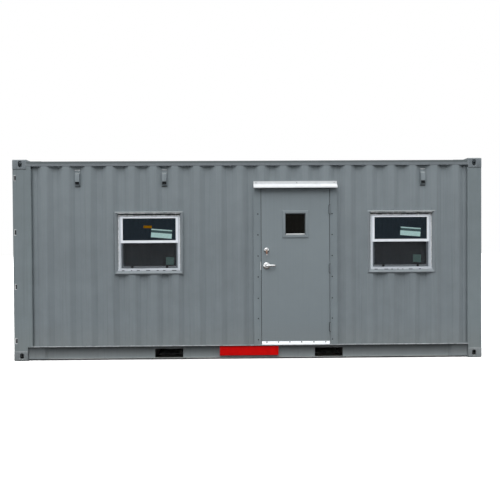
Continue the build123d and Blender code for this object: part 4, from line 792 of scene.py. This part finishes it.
# The head and foot bars are coloured near white, as painted light over the shade of the recess.
screen_bars_lit = mottled_skin("roll_formed_aluminium_painted_light", "#dde3e8", 0.5, brush_mm=1.5, metal=0.2)
# The side bars take a dark copy of the same metal, as painted shade in the recess of the frame.
screen_bars_shaded = mottled_skin("roll_formed_aluminium_painted_shade", "#5d6369", 0.6, brush_mm=1.5, metal=0.2, shine=0.2)
screen_frames = finish_piece("screen_frames", frames, "cabin", "insect_screen", screen_bars_lit, screen_bars_shaded)
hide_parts("window_screens")
round_edges(screen_frames, 1)
# The real mesh has 1.4 mm holes, too fine to show: it is drawn as an even veil whose threads
# are 6 mm apart. A wave texture repeats every 0.314 m divided by its scale.
veil, tree = new_finish("charcoal_insect_mesh")
place = add(tree, "TexCoord").outputs["Object"]
threads = 1 / 0.003 / 6.28
warp = add(tree, "TexWave", {"Scale": threads, "bands_direction": "X", "Vector": place})
weft = add(tree, "TexWave", {"Scale": threads, "bands_direction": "Z", "Vector": place})
crossing = add(tree, "Math", {"operation": "MAXIMUM", 0: warp, 1: weft})
lint = add(tree, "TexNoise", {"Scale": 1 / 0.05, "Detail": 6, "Roughness": 0.7, "Vector": place})
worn = add(tree, "Math", {"operation": "MULTIPLY", 0: crossing, 1: lint})
tone = add(tree, "ValToRGB", {"Fac": worn}, stops=((0.2, "#1a1c1e"), (0.7, "#303438")))
look = {"Roughness": 0.8, "IOR": 1.45, "Specular IOR Level": 0.3, "Alpha": 0.72, "Base Color": tone}
add(tree, "OutputMaterial", {"Surface": add(tree, "BsdfPrincipled", look)})
finish_piece("screen_cloth", cloths, "cabin", "insect_screen", veil)
# A spark-eroded mould gives nylon a fine grain that kills its gloss.
black_nylon_and_shade, tree = new_finish("black_nylon_and_painted_shade")
place = add(tree, "TexCoord").outputs["Object"]
spark = add(tree, "TexNoise", {"Scale": 1 / 0.0015, "Vector": place})
skin = add(tree, "Bump", {"Distance": 0.0001, "Height": spark})
look = {"Base Color": hex_colour("#0a0a0a"), "Roughness": 0.5, "IOR": 1.5, "Specular IOR Level": 0.04}
add(tree, "OutputMaterial", {"Surface": add(tree, "BsdfPrincipled", {**look, "Normal": skin})})
finish_piece("screen_plungers", plungers, "cabin", "insect_screen", black_nylon_and_shade)

# Entry door surround, frame and door: steel tube posts, a folded frame and a hollow steel door.
# A factory enamel goes on smoother than the site coat, and the door has no dents yet.
jamb_paint = grey_topcoat("grey_topcoat_on_door_posts", "#7c868b", grain_rise_mm=0.1, streaks=0.2)
coat("door_surround", jamb_paint, edge_mm=2)
coat("entry_door_frame", jamb_paint, edge_mm=1.5)
enamel = grey_topcoat(
    "grey_enamel_on_door",
    "#818b90",
    grain_mm=14,
    grain_rise_mm=0.06,
    streaks=0.1,
    gloss=0.38,
    cloud_depth=0.02,
)
# The door is coloured darker towards its foot, from 1.5 m down to 0.3 m.
stain(enamel, "#5b646a", "Z", 1.5, 0.3, most=0.22)
coat("door_slab", enamel, edge_mm=2)
coat("door_lite_frame", enamel, edge_mm=1)
coat("door_glass", float_glass("bronze_float_glass", "#6d6a64", "#6f6f6a"))

# Door fixings: self-drilling screws with washer heads hold the steel posts to the wall posts, and
# the sweep to the foot of the door. Their black phosphate coat is left unpainted.
screw_coat = mottled_skin("black_phosphate_screws", "#2c3134", 0.6, metal=0.0, shine=0.2)
washer_head = [
    (0.0085, 0), (0.0082, 0.0008), (0.0052, 0.0012), (0.0050, 0.0030), (0.0036, 0.0040), (0, 0.0042),
]
post_face, post_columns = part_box("door_surround")[0].y, (0.122, 1.082)
post_rows = (0.252, 0.525, 0.787, 1.064, 1.335, 1.608, 1.877)
bm = bmesh.new()
for x in post_columns:
    for z in post_rows:
        turned(bm, washer_head, (x, post_face, z), (0, -1, 0), 12)
finish_piece("door_post_screws", bm, "cabin", "frame_paint", screw_coat)
sweep_face, sweep_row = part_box("door_sweep")[0].y, 0.218
sweep_columns = (0.230, 0.381, 0.529, 0.681, 0.840, 0.994)
bm = bmesh.new()
for x in sweep_columns:
    turned(bm, washer_head, (x, sweep_face, sweep_row), (0, -1, 0), 12)
finish_piece("sweep_screws", bm, "entry_door", "sweep_aluminium", screw_coat)

# Weatherstrip and glazing bead: black EPDM is pushed on to the stop all round the door, and a
# white bead along the foot of the pane stands as a painted highlight on the lower edge of the lite.
slab_low, slab_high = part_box("door_slab")
seal_y, seal_top, seal_w = slab_high.y + 0.0006, slab_high.z - 0.003, 0.0105
bm = bmesh.new()
for x in (slab_low.x - 0.001, slab_high.x + 0.001):
    lay_bead(bm, (x, seal_y, slab_low.z), (x, seal_y, seal_top), (1, 0, 0), (0, 1, 0), seal_w)
head = level((slab_low.x, slab_high.x), seal_y, slab_high.z + 0.001)
lay_bead(bm, *head, (0, 0, 1), (0, 1, 0), seal_w)
# Its black lip stands in the gap beside the lock, from the lever up, and deepens the gap line as painted
# shade.
lip_x, lip_y, lip_foot, lip_w = slab_low.x - 0.0015, slab_low.y + 0.002, 1.24, 0.005
lay_bead(bm, (lip_x, lip_y, lip_foot), (lip_x, lip_y, seal_top), (1, 0, 0), (0, -0.6, 0), lip_w)
finish_piece("door_weatherstrip", bm, "cabin", "gasket_rubber", rubber)
pane_low, pane_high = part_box("door_glass")
glazing_w = 0.012
foot = level((pane_low.x + 0.003, pane_high.x - 0.003), pane_low.y - 0.008, pane_low.z + 0.006)
bm = bmesh.new()
lay_bead(bm, *foot, (0, 0.5, 1), (0, -1, 0.6), glazing_w)
glazing_highlight = faded_vinyl("white_glazing_bead_painted_highlight", "#dfe3e6")
finish_piece("glazing_bead", bm, "entry_door", "lite_frame_plastic", glazing_highlight)

# Threshold, sweep and drip cap: aluminium strips, screwed on. The sweep is left as it came from
# the mill, the threshold is anodised, and the white enamel of the cap has chalked.
mill_finish = mottled_skin("mill_finish_aluminium", "#dfe3e7", 0.35, brush_mm=1.5, metal=0.8)
coat("door_sweep", mill_finish, edge_mm=0.6)
coat("drip_cap", mottled_skin("chalked_white_cap_enamel", "#d6dadd", 0.5, metal=0.0), edge_mm=0.6)
cap_face, cap_row, cap_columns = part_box("drip_cap")[1].y - 0.0012, 2.279, (0.100, 0.627, 1.110)
bm = bmesh.new()
for x in cap_columns:
    turned(bm, pan_head, (x, cap_face, cap_row), (0, -1, 0), 12)
finish_piece("cap_screws", bm, "cabin", "drip_cap_aluminium", screw_coat)
coat("door_threshold", anodised, edge_mm=0.6)

# Door hardware: a lever set and deadbolt of die-cast zinc, plated in satin nickel, on both faces
# of the door. Whatever faces down is coloured dark brown: painted shade on the plating.
nickel = mottled_skin("satin_nickel_plate", "#d9dbdc", 0.28)
stain(nickel, "#37322f", "Z", 0.02, -0.12, most=0.95, facing=True)
lock_low, lock_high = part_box("door_locks")
spindle = Vector(((lock_low.x + lock_high.x) / 2, 0, lock_low.z + 0.045))
bolt_z = lock_high.z - 0.033
rose = [
    (0.0455, 0), (0.0455, 0.0025), (0.044, 0.0055), (0.040, 0.0088), (0.034, 0.0112),
    (0.026, 0.0128), (0.018, 0.0136), (0.0155, 0.0136), (0.015, 0.0120), (0, 0.0120),
]
cylinder = [
    (0.033, 0), (0.033, 0.003), (0.0325, 0.006), (0.030, 0.0100), (0.026, 0.0135), (0.020, 0.0158),
    (0.0115, 0.0160), (0.0110, 0.0145), (0.0085, 0.0145), (0.0085, 0.0158), (0, 0.0158),
]
bm = bmesh.new()
for face, out in ((slab_low.y, -1), (slab_high.y, 1)):
    turned(bm, rose, (spindle.x, face, spindle.z), (0, out, 0), 40)
    turned(bm, cylinder, (spindle.x, face, bolt_z), (0, out, 0), 32)
# The thumb turn inside is a flat wing on the plug.
half, wing_y = 0.013, slab_high.y + 0.0155
wing = ((-0.003, -half), (0.003, -half), (0.004, 0), (0.003, half), (-0.003, half), (-0.004, 0))
outline = [(spindle.x + x, wing_y, bolt_z + rise) for x, rise in wing]
blank(bm, outline, (0, lock_high.y + 0.010 - wing_y, 0))
locks = finish_piece("lever_roses_and_deadbolt", bm, "entry_door", "satin_nickel", nickel)
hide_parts("door_locks")


def drawn(bm, stations, sides=14):
    """A cast bar through oval stations, each a middle, a half height in z and a half depth in y."""
    angles = [2 * math.pi * i / sides for i in range(sides)]
    rings = []
    for middle, half_z, half_y in stations:
        spots = [Vector((0, half_y * math.cos(a), half_z * math.sin(a))) for a in angles]
        rings.append([bm.verts.new(Vector(middle) + spot) for spot in spots])
    for here, there in zip(rings, rings[1:]):
        for i in range(sides):
            face = bm.faces.new((here[i], here[i - 1], there[i - 1], there[i]))
            face.smooth = True
            face.material_index = int(there is rings[-1])
    bm.faces.new(rings[0])
    bm.faces.new(rings[-1]).material_index = 1


neck = [
    (0.0148, 0.0125), (0.0140, 0.0150), (0.0115, 0.0200), (0.0105, 0.0300),
    (0.0118, 0.0380), (0.0100, 0.0455), (0.0060, 0.0465), (0, 0.0466),
]
# Stations along the lever, from the spindle: reach, set back, rise, half height and half depth.
lever = (
    (-0.010, 0.0080, 0.000, 0.0085, 0.0030),
    (-0.004, 0.0075, 0.000, 0.0138, 0.0058),
    (0.008, 0.0070, 0.001, 0.0148, 0.0065),
    (0.024, 0.0066, 0.002, 0.0144, 0.0060),
    (0.045, 0.0062, 0.003, 0.0138, 0.0052),
    (0.070, 0.0062, 0.004, 0.0131, 0.0047),
    (0.092, 0.0070, 0.004, 0.0126, 0.0045),
    (0.106, 0.0105, 0.003, 0.0120, 0.0046),
    (0.114, 0.0170, 0.002, 0.0105, 0.0050),
    (0.118, 0.0260, 0.002, 0.0080, 0.0050),
)
lever_low, lever_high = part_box("door_levers")
bm = bmesh.new()
for face, out, tip_y in ((slab_low.y, -1, lever_low.y), (slab_high.y, 1, lever_high.y)):
    turned(bm, neck, (spindle.x, face, spindle.z), (0, out, 0), 24)
    stations = []
    for x, back, rise, half_z, half_y in lever:
        stations.append(((spindle.x + x, tip_y - out * back, spindle.z + rise), half_z, half_y))
    drawn(bm, stations)
# The grip ends in a black plug, coloured as painted shade under the tip of the lever.
lever_set = finish_piece("levers", bm, "door_lever", "satin_nickel", nickel, black_nylon_and_shade)
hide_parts("door_levers")


# Keys: a brass key left in the deadbolt, with a second one and a leather tag on its ring.
# Brass goes brown where nobody rubs it, and the tag is dyed a red that has faded.
def hanging(outline, y, across=0.0, rise=0.0):
    """An outline of (x, z) points about the keyhole, as places on the plane y."""
    return [(spindle.x + across + x, y, bolt_z + rise + z) for x, z in outline]


def oval(half_x, half_z, sides=16):
    angles = [2 * math.pi * i / sides for i in range(sides)]
    return [(half_x * math.cos(a), half_z * math.sin(a)) for a in angles]


brass = mottled_skin("tarnished_key_brass", "#8a6a55", 0.45, metal=0.6)
leather = faded_vinyl("red_brown_leather", "#8a5f54", blotch_mm=8)
of_leather, of_nickel = 1, 2
key_y, bow_z = lock_low.y - 0.002, bolt_z - 0.010
bow = [(0.0085, 0), (0.0095, 0.001), (0.0095, 0.003), (0.0085, 0.004), (0, 0.004)]
tag = (
    (-0.006, -0.018), (0.010, -0.016), (0.013, -0.024), (0.010, -0.052),
    (0.006, -0.056), (0.000, -0.056), (-0.004, -0.050), (-0.008, -0.026),
)
bm = bmesh.new()
blank(bm, hanging(four_corners(-0.001, 0.001, -0.009, 0.004), key_y - 0.020), (0, 0.022, 0))
turned(bm, bow, (spindle.x, key_y - 0.024, bow_z), (0, 1, 0), 16)
blank(bm, hanging(oval(0.0075, 0.014), key_y - 0.016, 0.003, -0.030), (0, 0.002, 0))
blank(bm, hanging(tag, key_y - 0.011), (0, 0.003, 0), of_leather)
blank(bm, hanging(oval(0.005, 0.007), key_y - 0.012, 0.004, -0.060), (0, 0.002, 0), of_nickel)
finish_piece("keys_and_tag", bm, "entry_door", "satin_nickel", brass, leather, nickel)

# Hinges and strike: pressed steel butts painted over with the posts, and a strike left bare.
# Their pins end in black tips, and a black line along the gap beside each leaf is painted shadow.
butt_paint = grey_topcoat("grey_topcoat_on_butt_hinges", "#747c81", grain_mm=5, grain_rise_mm=0.1)
coat("door_hinges_frame", butt_paint, edge_mm=0.6)
coat("door_hinges_leaf", butt_paint, edge_mm=0.6)
pin_tip = [(0.0075, 0), (0.0075, 0.003), (0.005, 0.0065), (0, 0.0075)]
pin_set, leaf_shadow_w = 0.009, 0.005
bm = bmesh.new()
for low, high in solids("door_hinges_frame"):
    for z, up in ((low.z, -1), (high.z, 1)):
        turned(bm, pin_tip, ((low.x + high.x) / 2, low.y + pin_set, z), (0, 0, up), 14)
finish_piece("hinge_pin_tips", bm, "cabin", "hinge_steel", screw_coat)
bm = bmesh.new()
for low, high in solids("door_hinges_leaf"):
    gap = low.x - 0.0005
    lay_bead(bm, (gap, slab_low.y, low.z), (gap, slab_low.y, high.z), (1, 0, 0), (0, -1, 0), leaf_shadow_w)
finish_piece("hinge_painted_shadow_lines", bm, "entry_door", "hinge_steel", black_shadow_finish)
coat("strike_plate", mottled_skin("dull_stainless_steel", "#b2b6b8", 0.45, metal=0.5))


# Stage: a pale studio floor under a wide, even sky of white cloth. Both show as near white, and
# the floor sends little light back up.
def seen_directly(tree):
    """1 where the eye, a reflection or glass looks at the backdrop, 0 where it only lights."""
    ray = add(tree, "LightPath").outputs
    either = add(tree, "Math", {"operation": "MAXIMUM", 0: ray["Is Camera Ray"], 1: ray["Is Glossy Ray"]})
    return add(tree, "Math", {"operation": "MAXIMUM", 0: either, 1: ray["Is Transmission Ray"]})


floor_reach = 60
floor_mesh = bpy.data.meshes.new("studio_floor")
corners = four_corners(-floor_reach, floor_reach, -floor_reach, floor_reach)
floor_mesh.from_pydata([(x, y, 0) for x, y in corners], [], [(0, 1, 2, 3)])
studio_floor = bpy.data.objects.new("studio_floor", floor_mesh)
scene.collection.objects.link(studio_floor)
studio_floor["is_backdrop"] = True
floor_finish, tree = new_finish("matt_pale_floor")
lit, seen = hex_colour("#404040"), hex_colour("#fbfbfb")
pale = add(tree, "Mix", {"data_type": "RGBA", 0: seen_directly(tree), 6: lit, 7: seen}).outputs[2]
add(tree, "OutputMaterial", {"Surface": add(tree, "BsdfDiffuse", {"Color": pale})})
floor_mesh.materials.append(floor_finish)

sky = bpy.data.worlds.new("studio_sky")
scene.world = sky
sky.use_nodes = True
tree = sky.node_tree
tree.nodes.clear()
# The cloth sky is brightest overhead and falls off as the square of the height to a dim horizon.
horizon, zenith = 0.1, 3.7
aim = add(tree, "SeparateXYZ", {"Vector": add(tree, "TexCoord").outputs["Generated"]}).outputs["Z"]
squared = add(tree, "Math", {"operation": "POWER", "use_clamp": True, 0: aim, 1: 2.0})
overhead = add(tree, "MapRange", {"To Min": horizon, "To Max": zenith, "Value": squared})
strength = add(tree, "Mix", {"data_type": "FLOAT", 0: seen_directly(tree), 2: overhead, 3: 1.0})
white = add(tree, "Background", {"Color": (1, 1, 1, 1), "Strength": strength})
add(tree, "OutputWorld", {"Surface": white})

softbox = bpy.data.lights.new("high_softbox", "SUN")
softbox.energy = 1.2
softbox.angle = math.radians(40)
lamp = bpy.data.objects.new("high_softbox", softbox)
towards_lamp = Vector((-0.25, -0.9, 1.2))
lamp.rotation_euler = towards_lamp.to_track_quat("Z", "Y").to_euler()
scene.collection.objects.link(lamp)

# Camera: a metre and a half up and seven metres from the long side, nearly square to it.
# It stands a hand's width to the left of the middle and tips down by less than a degree.
lens = bpy.data.cameras.new("camera")
lens.sensor_width = 36
lens.lens = 39.03
camera = bpy.data.objects.new("camera", lens)
eye = (-0.071, -8.219, 1.5)
yaw, pitch, roll = math.radians(0.73), math.radians(-0.71), math.radians(-0.347)
ahead = Vector((math.sin(yaw) * math.cos(pitch), math.cos(yaw) * math.cos(pitch), math.sin(pitch)))
right = Vector((math.cos(yaw), -math.sin(yaw), 0))
up = right.cross(ahead)
right, up = right * math.cos(roll) + up * math.sin(roll), up * math.cos(roll) - right * math.sin(roll)
turn = Matrix((right, up, -ahead)).transposed().to_4x4()
camera.matrix_world = Matrix.Translation(eye) @ turn
scene.collection.objects.link(camera)
scene.camera = camera

low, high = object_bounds()
